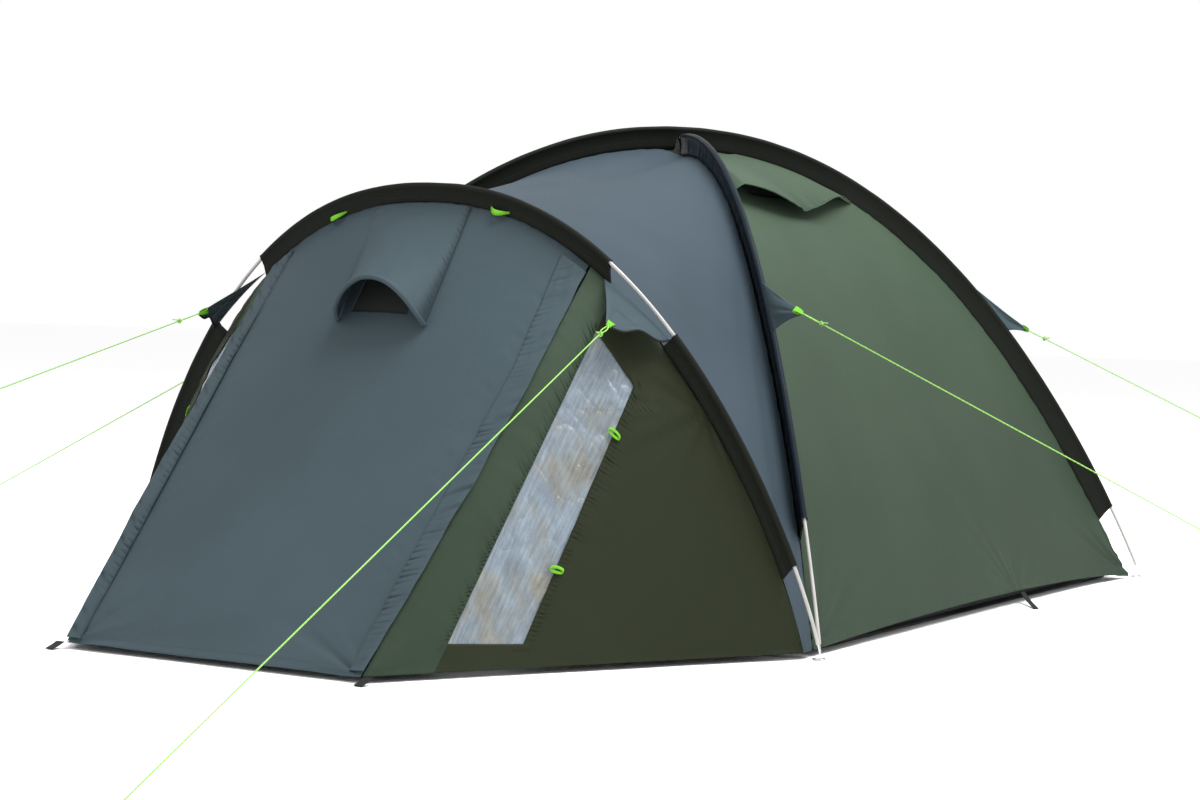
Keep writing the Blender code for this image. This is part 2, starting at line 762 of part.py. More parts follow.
def tab_rows(base_a, base_b, apex):
    """A three-cornered tab whose tip is as wide as the webbing loop sewn to it."""
    tip = unit(np.asarray(base_b) - base_a) * 0.009
    rows = []
    for t in (0.0, 0.5, 1.0):
        rows.append([lerp(base_a, apex - tip, t), lerp(base_b, apex + tip, t)])
    return rows


MAIN_TAB_STEPS = (11, 13)  # up from the foot, on a main pole
TAB_STAND_OFF = 0.0105  # the tabs are sewn to the sleeve's crown, this far outside the pole
RINGS = {  # where each guyline is tied, from the middle of the crossing's shadow
    "front_right": (0.779, -0.811, 0.788),
    "front_left": (-0.779, -0.811, 0.720),
    "rear_right": (0.740, 0.840, 0.750),
    "rear_left": (-0.740, 0.840, 0.750),
    "porch_right": (0.588, -1.402, 0.749),
    "porch_left": (-0.600, -1.385, 0.752),
}
PEGS = {  # where each guyline meets the ground
    "front_right": (2.280, -0.400),
    "front_left": (-1.900, -1.330),
    "rear_right": (2.280, 1.150),
    "porch_right": (0.956, -3.519),
    "porch_left": (-1.900, -2.700),
}


def ring_point(place):
    x, y, z = RINGS[place]
    return np.array([x, y + DOME_Y, z])


def make_main_tabs():
    for place, corner in (
        ("front_right", FRONT_RIGHT),
        ("front_left", FRONT_LEFT),
        ("rear_right", REAR_RIGHT),
        ("rear_left", REAR_LEFT),
    ):
        toward = RIGHTWARD if corner[0] > 0 else LEFTWARD
        plane = main_plane(*corner, toward)
        edge = seam(main_half(*corner)[::-1], plane, depth=-TAB_STAND_OFF)
        low, high = MAIN_TAB_STEPS
        rows = tab_rows(edge[high], edge[low], ring_point(place))
        sheet(f"guy_tab_{place}", rows, "slate")


def make_porch_tabs():
    edge = seam(arch_line(), ARCH_PLANE, 0.009, depth=0.034)
    low, high = ARCH_GAP_STEPS
    for name, side in (("left", -1), ("right", 1)):
        line = edge if side < 0 else edge[::-1]
        rows = tab_rows(line[high], line[low], ring_point(f"porch_{name}"))
        sheet(f"guy_tab_porch_{name}", rows, "slate")


def guy_route(place):
    """A taut guyline from its tab down to the ground."""
    start = ring_point(place)
    x, y = PEGS[place]
    end = np.array([x, y + DOME_Y, CORD_RADIUS + 0.0005])
    start = start + unit(end - start) * 0.004
    return np.array([lerp(start, end, t) for t in np.linspace(0.0, 1.0, 9)])


RUNNER_FROM_END = 0.080


def runner_place(place):
    """Where a guyline's runner sits at rest, and the direction up the line."""
    route = guy_route(place)
    upward = unit(route[0] - route[-1])
    return route[-1] + upward * RUNNER_FROM_END, upward


def make_guylines():
    profile = [(0.0024, 0.02), (0.0045, 0.02), (0.006, 0.015)]
    profile += [(r, -h) for r, h in reversed(profile)]
    for place in PEGS:
        tube(f"guyline_{place}", guy_route(place), CORD_RADIUS, "lime", 0.6)
        middle, upward = runner_place(place)
        turned(f"guy_runner_{place}", profile, middle.tolist(), upward, "black")


def main():
    make_poles()
    make_main_sleeves()
    make_porch_sleeves()
    for name, corner in (
        ("front_left", FRONT_LEFT),
        ("front_right", FRONT_RIGHT),
        ("rear_left", REAR_LEFT),
        ("rear_right", REAR_RIGHT),
    ):
        make_corner_ring(f"corner_ring_{name}", *corner)
    make_gores()
    make_roof()
    make_porch_sides()
    make_door()
    make_door_hood()
    make_toggles()
    door_pieces = ["door_panel", "door_vent_hood"]
    door_pieces += [f"door_{piece}_{side}" for piece in ("storm_flap", "toggle") for side in ("left", "right")]
    hang("door_hinge", DOOR_HINGE, *door_pieces)
    make_zip_sliders()
    make_side_vents()
    make_inner_tent()
    make_inner_door()
    make_groundsheet()
    make_ground_loops()
    make_main_tabs()
    make_porch_tabs()
    make_guylines()


clear_scene()
TENT = new_collection("dome_tent")
CUTTERS = new_collection("cutters")
CUTTERS.hide_render = True
main()
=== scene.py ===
"""The looks of a three-person dome tent with a front porch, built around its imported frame.

Sewn cloth panels with seams, puckers and stitching, pole sleeves, fibreglass poles, film windows,
webbing, zips and guylines replace the plain solids of the frame. Metres, in the frame's own axes:
the door faces -Y, and the origin is on the ground in the middle of the tent's box.
"""

import math

import bmesh
import bpy
import numpy as np
from mathutils import Matrix, Vector


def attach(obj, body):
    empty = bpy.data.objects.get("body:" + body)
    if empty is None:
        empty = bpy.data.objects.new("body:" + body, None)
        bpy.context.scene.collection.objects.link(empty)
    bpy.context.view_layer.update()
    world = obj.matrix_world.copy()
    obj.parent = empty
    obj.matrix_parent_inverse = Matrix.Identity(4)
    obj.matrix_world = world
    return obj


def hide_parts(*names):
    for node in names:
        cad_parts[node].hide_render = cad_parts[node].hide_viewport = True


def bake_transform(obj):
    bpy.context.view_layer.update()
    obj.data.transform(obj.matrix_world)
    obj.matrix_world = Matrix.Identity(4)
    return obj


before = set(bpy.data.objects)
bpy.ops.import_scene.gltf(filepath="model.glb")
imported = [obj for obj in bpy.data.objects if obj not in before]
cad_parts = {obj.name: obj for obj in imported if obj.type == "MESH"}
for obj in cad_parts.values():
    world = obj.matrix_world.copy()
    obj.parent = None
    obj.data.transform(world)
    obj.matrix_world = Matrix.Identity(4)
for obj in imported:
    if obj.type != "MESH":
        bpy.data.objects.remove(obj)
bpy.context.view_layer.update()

# Driving dimensions, as in the frame
HEIGHT = 1.30  # the upper pole, at the crossing
HALF_WIDTH = 1.015  # of the four feet
HALF_LENGTH = 1.145
DOME_Y = 0.479  # the crossing lies this far behind the origin
MAIN_CURVE = (2.12, 1.07)  # exponents of the bent main poles
ARCH_CURVE = (2.27, 1.27)  # exponents of the bent porch pole
ARCH_HEIGHT = 1.071
ARCH_APEX_Y = -1.288  # from the crossing
DOOR_TOP_HALF = 0.455
DOOR_FOOT_HALF = 0.405
DOOR_FOOT_Y = -2.070  # from the crossing
HEM_Z = 0.014
INNER_HALF_WIDTH = 0.93
INNER_HALF_LENGTH = 1.06
INNER_HEIGHT = 1.17
INNER_DOOR_HALF = 0.36
INNER_DOOR_Z = (0.135, 0.73)
TUB_HEIGHT = 0.10
POLE_RADIUS = 0.00425
POLE_DROP = 0.022  # the lower main pole passes this far under the upper one
POLE_FOOT_Z = 0.036
SEAM_DEPTH = 0.056  # the panels are sewn this far inside the poles
SLEEVE_DEPTH = 0.060
ARCH_SLEEVE_DEPTH = 0.044  # the porch pole's band is narrower
ARCH_SEAM_DEPTH = 0.040
SEAM_GAP = 0.0022  # from the middle of a sleeve's band to a panel's edge
GORE_START = 0.03  # share of the way down from the crossing
CORD_RADIUS = 0.0015
MAIN_STEPS = 26  # lengths on half a main pole, which place its joints and sleeves
ARCH_STEPS = 40  # the same on the whole porch pole
CLOTH = 0.0007
NET = 0.0004
FILM = 0.0004

FRONT_LEFT, FRONT_RIGHT = (-1, -1), (1, -1)
REAR_LEFT, REAR_RIGHT = (-1, 1), (1, 1)
FORWARD, BACKWARD = np.array([0.0, -1.0, 0.0]), np.array([0.0, 1.0, 0.0])
LEFTWARD, RIGHTWARD = np.array([-1.0, 0.0, 0.0]), np.array([1.0, 0.0, 0.0])
SIDES = (("left", -1), ("right", 1))

RINGS = {  # where each guyline is tied, from the middle of the crossing's shadow
    "front_right": (0.779, -0.811, 0.788),
    "front_left": (-0.779, -0.811, 0.720),
    "rear_right": (0.740, 0.840, 0.750),
    "rear_left": (-0.740, 0.840, 0.750),
    "porch_right": (0.588, -1.402, 0.749),
    "porch_left": (-0.600, -1.385, 0.752),
}
PEGS = {  # where each guyline meets the ground
    "front_right": (2.280, -0.400),
    "front_left": (-1.900, -1.330),
    "rear_right": (2.280, 1.150),
    "porch_right": (0.956, -3.519),
    "porch_left": (-1.900, -2.700),
}
CORNERS = {
    "front_right": FRONT_RIGHT,
    "front_left": FRONT_LEFT,
    "rear_right": REAR_RIGHT,
    "rear_left": REAR_LEFT,
}
INNER_WALLS = (  # the corners between which each wall of the inner tent and its tub runs
    (FRONT_LEFT, FRONT_RIGHT),
    (FRONT_RIGHT, REAR_RIGHT),
    (REAR_RIGHT, REAR_LEFT),
    (REAR_LEFT, FRONT_LEFT),
)

# ---------------------------------------------------------------- camera, light and floor

CAMERA_PLACE = (3.3726, -5.7241, 0.7938)
CAMERA_YAW, CAMERA_PITCH, CAMERA_ROLL = 0.5285, 0.0385, 0.0235
CAMERA_LENS = 73.9


def make_camera():
    data = bpy.data.cameras.new("camera")
    data.lens = CAMERA_LENS
    data.sensor_width = 36.0
    data.clip_end = 200.0
    level = math.cos(CAMERA_PITCH)
    forward = Vector((-math.sin(CAMERA_YAW) * level, math.cos(CAMERA_YAW) * level, -math.sin(CAMERA_PITCH)))
    right = forward.cross(Vector((0.0, 0.0, 1.0))).normalized()
    up = right.cross(forward)
    cosine, sine = math.cos(CAMERA_ROLL), math.sin(CAMERA_ROLL)
    axes = Matrix((cosine * right + sine * up, cosine * up - sine * right, -forward)).transposed()
    camera = bpy.data.objects.new("camera", data)
    bpy.context.scene.collection.objects.link(camera)
    camera.matrix_world = Matrix.Translation(CAMERA_PLACE) @ axes.to_4x4()
    bpy.context.scene.camera = camera


def area_light(name, place, size, power, colour=(1.0, 1.0, 1.0)):
    data = bpy.data.lights.new(name, "AREA")
    data.size = size
    data.energy = power
    data.color = colour
    light = bpy.data.objects.new(name, data)
    bpy.context.scene.collection.objects.link(light)
    light.location = place
    aim = Vector((0.0, 0.0, 0.6)) - Vector(place)
    light.rotation_mode = "QUATERNION"
    light.rotation_quaternion = aim.to_track_quat("-Z", "Y")


def make_studio():
    bpy.context.scene.view_settings.view_transform = "Standard"
    world = bpy.data.worlds.new("studio")
    bpy.context.scene.world = world
    world.use_nodes = True
    world.node_tree.nodes["Background"].inputs["Color"].default_value = (1.0, 1.0, 1.0, 1.0)
    world.node_tree.nodes["Background"].inputs["Strength"].default_value = 1.0
    area_light("key", (-4.0, -4.5, 6.5), 4.0, 125.0, (1.0, 0.99, 0.97))
    area_light("top", (2.2, 0.6, 6.5), 4.0, 680.0, (0.93, 0.98, 1.0))
    bpy.ops.mesh.primitive_plane_add(size=80.0, location=(0.0, 0.0, -0.0006))
    floor = bpy.context.object
    floor.name = "floor"
    made, _, shader = new_material("floor_paper")
    shader.inputs["Base Color"].default_value = (0.97, 0.97, 0.97, 1.0)
    shader.inputs["Roughness"].default_value = 0.9
    floor.data.materials.append(made)


# ---------------------------------------------------------------- materials


def new_material(name):
    made = bpy.data.materials.new(name)
    made.use_nodes = True
    return made, made.node_tree, made.node_tree.nodes["Principled BSDF"]


def add_node(tree, kind, inputs, **settings):
    """A node with its settings, and with each input set to a value or linked to a socket."""
    made = tree.nodes.new(kind)
    for key, value in settings.items():
        setattr(made, key, value)
    for key, value in inputs.items():
        if isinstance(value, bpy.types.NodeSocket):
            tree.links.new(value, made.inputs[key])
        else:
            made.inputs[key].default_value = value
    return made


def point_value(tree, name, output="Fac"):
    """What a mesh holds for each of its points: its place in the weave, a sewn edge, or the painted shade of
    a crease.
    """
    return add_node(tree, "ShaderNodeAttribute", {}, attribute_name=name).outputs[output]


def weave_of(tree):
    return point_value(tree, "weave", "Vector")


def noise_value(tree, place, scale, detail=3.0, rough=0.55):
    inputs = {"Vector": place, "Scale": scale, "Detail": detail, "Roughness": rough}
    return add_node(tree, "ShaderNodeTexNoise", inputs).outputs["Fac"]


def remap(tree, value, from_low, from_high, low, high):
    inputs = {"Value": value, "From Min": from_low, "From Max": from_high, "To Min": low, "To Max": high}
    return add_node(tree, "ShaderNodeMapRange", inputs).outputs["Result"]


def threads(tree, place, axis, pitch):
    """Parallel threads a pitch apart, across one axis of the cloth."""
    inputs = {"Vector": place, "Scale": 0.314159 / pitch, "Distortion": 0.0}
    made = add_node(tree, "ShaderNodeTexWave", inputs, bands_direction=axis, wave_profile="SIN")
    return made.outputs["Fac"]


def combine(tree, operation, a, b):
    return add_node(tree, "ShaderNodeMath", {0: a, 1: b}, operation=operation).outputs["Value"]


def plain_colour(tree, colour):
    made = add_node(tree, "ShaderNodeRGB", {}).outputs["Color"]
    made.default_value = (*colour, 1.0)
    return made


def two_colours(tree, share, first, second):
    mixed = add_node(tree, "ShaderNodeMix", {"Factor": share}, data_type="RGBA")
    mixed.inputs["A"].default_value = (*first, 1.0)
    mixed.inputs["B"].default_value = (*second, 1.0)
    return mixed.outputs["Result"]


def set_colour(tree, shader, colour, factor):
    """Gives the shader a colour made lighter or darker by a factor."""
    scaled = add_node(tree, "ShaderNodeVectorMath", {0: colour, "Scale": factor}, operation="SCALE")
    tree.links.new(scaled.outputs["Vector"], shader.inputs["Base Color"])


def set_input(tree, shader, name, value, low, high, from_low=0.3, from_high=0.7):
    """Lets a value from a pattern drive one of the shader's inputs between two limits."""
    tree.links.new(remap(tree, value, from_low, from_high, low, high), shader.inputs[name])


def set_relief(tree, shader, height, strength, distance):
    bump = add_node(tree, "ShaderNodeBump", {"Height": height, "Strength": strength, "Distance": distance})
    tree.links.new(bump.outputs["Normal"], shader.inputs["Normal"])


def cloth_material(name, colour, pitch=0.0007, roughness=0.58, variation=0.08, relief=0.35, painted_top_light=0.0):
    """Coated woven polyester: fine threads, soft patches of tone, paler worn edges, and painted shade in its
    creases and in the hollows between its threads.

    Its last argument sets how much lighter the cloth is painted at the top than at the ground: painted light
    from above."""
    made, tree, shader = new_material(name)
    weave = weave_of(tree)
    solid = add_node(tree, "ShaderNodeTexCoord", {}).outputs["Object"]
    height = add_node(tree, "ShaderNodeSeparateXYZ", {"Vector": solid}).outputs["Z"]
    mottle = noise_value(tree, weave, 90.0, 4.0, 0.7)
    warp, weft = threads(tree, weave, "X", pitch), threads(tree, weave, "Y", pitch * 1.15)
    both = combine(tree, "MULTIPLY", warp, weft)
    tone = remap(tree, noise_value(tree, solid, 2.4), 0.3, 0.7, 1.0 - variation, 1.0 + variation)
    for layer in (
        (mottle, 0.3, 0.7, 0.96, 1.04),
        # painted shade: the hollows between the threads are painted darker
        (both, 0.0, 1.0, 0.93, 1.05),
        (point_value(tree, "edge"), 0.0, 1.0, 1.0, 1.14),
        # painted shade: darker in the creases
        (point_value(tree, "crease"), 0.0, 1.0, 1.0, 0.16),
        # painted light: lighter towards the top and darker towards the ground
        (height, 0.3, 1.25, 1.0 - painted_top_light / 2, 1.0 + painted_top_light),
    ):
        tone = combine(tree, "MULTIPLY", tone, remap(tree, *layer))
    set_colour(tree, shader, plain_colour(tree, colour), tone)
    set_input(tree, shader, "Roughness", mottle, roughness - 0.06, roughness + 0.08, 0.25, 0.75)
    bump = add_node(tree, "ShaderNodeBump", {"Height": both, "Strength": relief, "Distance": 0.00012})
    creases = noise_value(tree, weave, 38.0, 5.0, 0.6)
    crumple = {"Height": creases, "Strength": 0.18, "Distance": 0.0012, "Normal": bump.outputs["Normal"]}
    fine = add_node(tree, "ShaderNodeBump", crumple)
    tree.links.new(fine.outputs["Normal"], shader.inputs["Normal"])
    shader.inputs["Specular IOR Level"].default_value = 0.06
    return made


def webbing_material(name, colour):
    """Narrow woven tape with coarse diagonal ribs."""
    made, tree, shader = new_material(name)
    weave = weave_of(tree)
    fine = threads(tree, weave, "Y", 0.0009)
    half = combine(tree, "MULTIPLY", fine, 0.5)
    relief = combine(tree, "ADD", threads(tree, weave, "DIAGONAL", 0.0022), half)
    # The grooves between the ribs are painted darker: painted shade.
    set_colour(tree, shader, plain_colour(tree, colour), remap(tree, relief, 0.0, 1.5, 0.78, 1.12))
    set_relief(tree, shader, relief, 0.6, 0.0004)
    set_input(tree, shader, "Roughness", fine, 0.55, 0.72, 0.0, 1.0)
    shader.inputs["Specular IOR Level"].default_value = 0.15
    return made


def braid_material(name, colour, fleck):
    """Braided cord: two crossing sets of strands with a reflective fleck."""
    made, tree, shader = new_material(name)
    weave = weave_of(tree)
    there = threads(tree, weave, "DIAGONAL", 0.0016)
    turned = add_node(tree, "ShaderNodeMapping", {"Vector": weave, "Rotation": (0.0, 0.0, math.pi / 2)})
    back = threads(tree, turned.outputs["Vector"], "DIAGONAL", 0.0016)
    braid = combine(tree, "MAXIMUM", there, back)
    flecks = threads(tree, weave, "Y", 0.011)
    spot = remap(tree, combine(tree, "MULTIPLY", flecks, there), 0.62, 0.8, 0.0, 1.0)
    mixed = two_colours(tree, spot, colour, fleck)
    # The hollows between the strands are painted darker: painted shade.
    set_colour(tree, shader, mixed, remap(tree, braid, 0.2, 1.0, 0.7, 1.08))
    set_relief(tree, shader, braid, 0.6, 0.0004)
    set_input(tree, shader, "Roughness", braid, 0.68, 0.5, 0.0, 1.0)
    return made


def film_material(name, colour, yellowed, alpha):
    """Clear vinyl film: glossy, a little cloudy and yellowed, with streaks from being rolled."""
    made, tree, shader = new_material(name)
    weave = weave_of(tree)
    cloud = noise_value(tree, weave, 14.0, 5.0, 0.6)
    scuff = noise_value(tree, weave, 160.0, 3.0, 0.7)
    drawn = add_node(tree, "ShaderNodeMapping", {"Vector": weave, "Scale": (150.0, 12.0, 1.0)})
    streak = noise_value(tree, drawn.outputs["Vector"], 1.0, 4.0, 0.65)
    warm = remap(tree, noise_value(tree, weave, 5.0, 3.0, 0.6), 0.46, 0.60, 0.0, 0.9)
    tone = remap(tree, cloud, 0.3, 0.7, 0.86, 1.10)
    tone = combine(tree, "MULTIPLY", tone, remap(tree, streak, 0.3, 0.7, 0.72, 1.22))
    set_colour(tree, shader, two_colours(tree, warm, colour, yellowed), tone)
    set_input(tree, shader, "Roughness", scuff, 0.14, 0.30)
    set_input(tree, shader, "Alpha", cloud, alpha - 0.10, alpha + 0.10)
    set_relief(tree, shader, noise_value(tree, weave, 55.0, 6.0, 0.65), 0.5, 0.0015)
    shader.inputs["Specular IOR Level"].default_value = 0.8
    return made


def hard_material(name, colour, roughness, metallic=0.0, grain=220.0, relief=0.12, coat=0.0):
    """Rod, metal or moulded plastic with a faint grain and uneven polish."""
    made, tree, shader = new_material(name)
    solid = add_node(tree, "ShaderNodeTexCoord", {}).outputs["Object"]
    grains = noise_value(tree, solid, grain, 4.0, 0.65)
    wear = noise_value(tree, solid, 18.0)
    tone = remap(tree, wear, 0.3, 0.7, 0.92, 1.06)
    tone = combine(tree, "MULTIPLY", tone, remap(tree, grains, 0.3, 0.7, 0.96, 1.04))
    set_colour(tree, shader, plain_colour(tree, colour), tone)
    set_input(tree, shader, "Roughness", wear, roughness - 0.07, roughness + 0.09)
    set_relief(tree, shader, grains, relief, 0.0003)
    shader.inputs["Metallic"].default_value = metallic
    shader.inputs["Coat Weight"].default_value = coat
    return made


def net_material(name, colour):
    """Insect netting: a square grid of threads, with the ground between them painted darker: painted shade
    for the dim space seen through the mesh.
    """
    made, tree, shader = new_material(name)
    weave = weave_of(tree)
    thread = combine(tree, "MAXIMUM", *(threads(tree, weave, axis, 0.0018) for axis in "XY"))
    set_colour(tree, shader, plain_colour(tree, colour), remap(tree, thread, 0.75, 0.95, 0.25, 1.0))
    set_relief(tree, shader, thread, 0.5, 0.0003)
    shader.inputs["Roughness"].default_value = 0.8
    return made


# A material and its slot in the record, by the name that the pieces below use
LOOKS = {
    "slate": (cloth_material("slate_taffeta", (0.044, 0.063, 0.073)), "slate_fabric"),
    "roof": (cloth_material("roof_taffeta", (0.041, 0.057, 0.071)), "roof_fabric"),
    # The roof cloth painted much darker for the lower front sleeve: painted shade on its band's shaded face.
    "roof_painted_shade": (
        cloth_material("roof_taffeta_painted_shade", (0.009, 0.014, 0.020), roughness=0.42, variation=0.06),
        "roof_fabric",
    ),
    # The green cloth is painted lighter towards its top: painted light from above.
    "green": (cloth_material("green_taffeta", (0.037, 0.055, 0.036), painted_top_light=0.34), "green_fabric"),
    "olive": (cloth_material("olive_taffeta", (0.0205, 0.0245, 0.0130)), "olive_fabric"),
    "black": (
        cloth_material("black_oxford", (0.0105, 0.0115, 0.0090), 0.0011, 0.6, 0.06, 0.6),
        "black_fabric",
    ),
    "inner": (
        cloth_material("inner_nylon", (0.42, 0.42, 0.39), roughness=0.65, variation=0.04),
        "inner_fabric",
    ),
    "net": (net_material("vent_net", (0.020, 0.022, 0.020)), "black_fabric"),
    "tub": (
        cloth_material("tub_polyethylene", (0.008, 0.008, 0.009), 0.0024, 0.42, 0.08, 0.8),
        "groundsheet",
    ),
    "tape": (webbing_material("black_webbing", (0.014, 0.014, 0.015)), "black_webbing"),
    "lime_tape": (webbing_material("lime_webbing", (0.14, 0.42, 0.02)), "lime_cord"),
    "lime": (braid_material("lime_braid", (0.22, 0.52, 0.05), (0.50, 0.72, 0.34)), "lime_cord"),
    "film": (
        film_material("window_film", (0.205, 0.250, 0.295), (0.215, 0.205, 0.170), 0.76),
        "clear_film",
    ),
    "rod": (
        hard_material("fibreglass_rod", (0.42, 0.40, 0.37), 0.34, grain=400.0, relief=0.2, coat=0.3),
        "fibreglass",
    ),
    "steel": (hard_material("plated_steel", (0.60, 0.60, 0.61), 0.28, metallic=1.0), "steel"),
    "plastic": (
        hard_material("black_acetal", (0.014, 0.014, 0.015), 0.42, grain=900.0, relief=0.15),
        "black_plastic",
    ),
    "thread_dark": (hard_material("dark_thread", (0.020, 0.026, 0.028), 0.8), "slate_fabric"),
    "thread_green": (hard_material("green_thread", (0.030, 0.042, 0.028), 0.8), "green_fabric"),
    "thread_pale": (hard_material("pale_thread", (0.50, 0.50, 0.46), 0.8), "inner_fabric"),
}

# ---------------------------------------------------------------- curves of the tent


def unit(vectors):
    vectors = np.asarray(vectors, float)
    return vectors / np.maximum(np.linalg.norm(vectors, axis=-1, keepdims=True), 1e-12)


def lerp(a, b, t):
    return np.asarray(a) + (np.asarray(b) - np.asarray(a)) * t


def lengths_along(points):
    steps = np.linalg.norm(np.diff(points, axis=0), axis=1)
    return np.concatenate([[0.0], np.cumsum(steps)])


def full_turn(count):
    return np.linspace(0.0, 2.0 * math.pi, count)


def hill(distance, width):
    """A smooth bump: 1 at no distance, and about a third at its width."""
    return np.exp(-((distance / width) ** 2))


def pick(points, distances, wanted):
    """The points at these distances along a line, by the distances of its own points."""
    return np.stack([np.interp(wanted, distances, points[:, k]) for k in range(3)], axis=-1)


def resample(points, count):
    distances = lengths_along(points)
    return pick(points, distances, np.linspace(0.0, distances[-1], count))


def bow(fractions, curve):
    """The height of a bent pole, as a share of its rise, at shares of its half span."""
    return (1.0 - np.minimum(np.abs(fractions), 1.0) ** curve[0]) ** (1.0 / curve[1])


FINE = 1200  # points on a line that pieces are measured from


def main_half(corner):
    """Half of a main pole, from the crossing to the foot at this corner."""
    side_x, side_y = corner
    height = HEIGHT if side_x == side_y else HEIGHT - POLE_DROP
    f = np.sin(np.linspace(0.0, math.pi / 2, 2000))
    line = [side_x * HALF_WIDTH * f, DOME_Y + side_y * HALF_LENGTH * f, height * bow(f, MAIN_CURVE)]
    return resample(np.stack(line, axis=1), FINE)


def main_plane(corner, toward):
    """The level normal of a main pole's plane, on the side where this direction points."""
    side_x, side_y = corner
    normal = unit((side_y * HALF_LENGTH, -side_x * HALF_WIDTH, 0.0))
    return normal * math.copysign(1.0, normal @ toward)


def main_pole(start, end):
    """A whole main pole between two opposite corners."""
    there, back = main_half(start)[::-1], main_half(end)[1:]
    return resample(np.concatenate([there, back]), 2 * FINE + 1)


def arch_line():
    """The porch pole, from its left foot to its right foot."""
    f = np.sin(np.linspace(-math.pi / 2, math.pi / 2, 4001))
    rise = bow(f, ARCH_CURVE)
    y = DOME_Y - HALF_LENGTH + (ARCH_APEX_Y + HALF_LENGTH) * rise
    return resample(np.stack([HALF_WIDTH * f, y, ARCH_HEIGHT * rise], axis=1), 2 * FINE + 1)


ARCH_UP = unit((0.0, ARCH_APEX_Y + HALF_LENGTH, ARCH_HEIGHT))
ARCH_PLANE = np.cross((1.0, 0.0, 0.0), ARCH_UP)  # points forward


def outward(points, plane_normal):
    """For each point of a bent pole, the direction in its plane that points away from the tent."""
    normals = unit(np.cross(np.gradient(points, axis=0), plane_normal))
    middle = np.array([0.0, DOME_Y - 0.3, 0.0])
    return normals if ((points - middle) * normals).sum() > 0.0 else -normals


def seam(points, plane_normal, aside=0.0, depth=SEAM_DEPTH):
    """A panel's edge: inside a pole by this depth, and aside from the sleeve's band."""
    return points - outward(points, plane_normal) * depth + plane_normal * aside


def gore_edge(corner, toward, count):
    """The edge of a panel along a main pole, from near the crossing to the hem."""
    edge = seam(main_half(corner), main_plane(corner, toward), SEAM_GAP)
    edge = edge[edge[:, 2].argsort()[::-1]]
    edge = resample(edge[edge[:, 2] >= HEM_Z], FINE)
    return resample(edge[int(GORE_START * FINE) :], count)


def arch_seam(side, aside=SEAM_GAP):
    """The edge of a panel along the porch pole, from the apex to the hem."""
    edge = seam(arch_line(), ARCH_PLANE, aside, ARCH_SEAM_DEPTH)
    half = edge[edge[:, 0] * side >= 0.0]
    half = half[np.abs(half[:, 0]).argsort()]
    return resample(half[half[:, 2] >= HEM_Z], FINE)


# ---------------------------------------------------------------- noise and wrinkles


def noise(u, v, seed):
    """Smooth noise from -1 to 1 on a lattice of one unit."""
    table = np.random.default_rng(seed).uniform(-1.0, 1.0, (64, 64))
    u, v = np.broadcast_arrays(np.asarray(u, float), np.asarray(v, float))
    low_u, low_v = np.floor(u).astype(int), np.floor(v).astype(int)
    fu, fv = u - low_u, v - low_v
    fu, fv = fu * fu * (3.0 - 2.0 * fu), fv * fv * (3.0 - 2.0 * fv)
    a, b = low_u % 64, low_v % 64
    c, d = (low_u + 1) % 64, (low_v + 1) % 64
    near = table[a, b] * (1.0 - fu) + table[c, b] * fu
    far = table[a, d] * (1.0 - fu) + table[c, d] * fu
    return near * (1.0 - fv) + far * fv


def ridges(u, v, seed):
    """Sharp creases: noise folded about zero, from 0 to 1 at the crests."""
    return (1.0 - np.abs(noise(u, v, seed))) ** 3


def normals_of(grid, away_from=(0.0, 0.1, 0.3)):
    """Unit normals of a grid of points, on the side away from the tent's middle."""
    normals = unit(np.cross(np.gradient(grid, axis=0), np.gradient(grid, axis=1)))
    outside = ((grid - np.asarray(away_from)) * normals).sum()
    return normals if outside > 0.0 else -normals


def spans(grid):
    """Each point's distance across its row from the left edge, and down its column from the top."""
    across = np.linalg.norm(np.diff(grid, axis=1), axis=2).cumsum(axis=1)
    down = np.linalg.norm(np.diff(grid, axis=0), axis=2).cumsum(axis=0)
    return np.pad(across, ((0, 0), (1, 0))), np.pad(down, ((1, 0), (0, 0)))


def from_edges(across, down):
    """Each point's distance from the nearest edge of its panel."""
    from_sides = np.minimum(across, across[:, -1:] - across)
    return np.minimum(from_sides, np.minimum(down, down[-1:] - down))


def pucker(distance, along, seed, reach=0.028, pitch=0.018):
    """Short gathers that stand across a seam and fade away from it."""
    wave = noise(along / pitch, distance / 0.05, seed)
    return wave * np.exp(-np.maximum(distance, 0.0) / reach)


def side_puckers(across, down, seed):
    """Gathers along both side edges of a panel."""
    return pucker(across, down, seed) + pucker(across[:, -1:] - across, down, seed + 1)


def gathers(distance, along, seed, pitch, reach, lean=0.5):
    """Short, narrow valleys where cloth is drawn up along a seam: from 0 to 1, at uneven places."""
    table = np.random.default_rng(seed).uniform(0.0, 1.0, (3, 509))
    place = (along + lean * distance) / pitch
    number = np.floor(place).astype(int) % 509
    shift, depth, length = (row[number] for row in table)
    off = (place % 1.0 - 0.5 - 0.3 * (shift - 0.5)) / 0.17
    fade = hill(distance, reach * (0.35 + 0.9 * length))
    return hill(off, 1.0) * (0.35 + 0.65 * depth) * fade * np.clip(distance / 0.0015, 0.0, 1.0)


def tension(place, grid, seed, folds=9.0, reach=0.30):
    """Creases that run out from a point where the cloth is pulled."""
    away = grid - np.asarray(place)
    distance = np.linalg.norm(away, axis=-1)
    angle = np.arctan2(away[..., 2], np.hypot(away[..., 0], away[..., 1]) * np.sign(away[..., 1] + 1e-9))
    strength = np.exp(-distance / reach) * np.minimum(distance / 0.04, 1.0)
    return noise(angle * folds, distance / 0.6, seed) * strength


# ---------------------------------------------------------------- meshes


def set_attribute(mesh, name, kind, values):
    made = mesh.attributes.new(name, kind, "POINT")
    made.data.foreach_set("vector" if kind == "FLOAT_VECTOR" else "value", values.astype(np.float32).ravel())


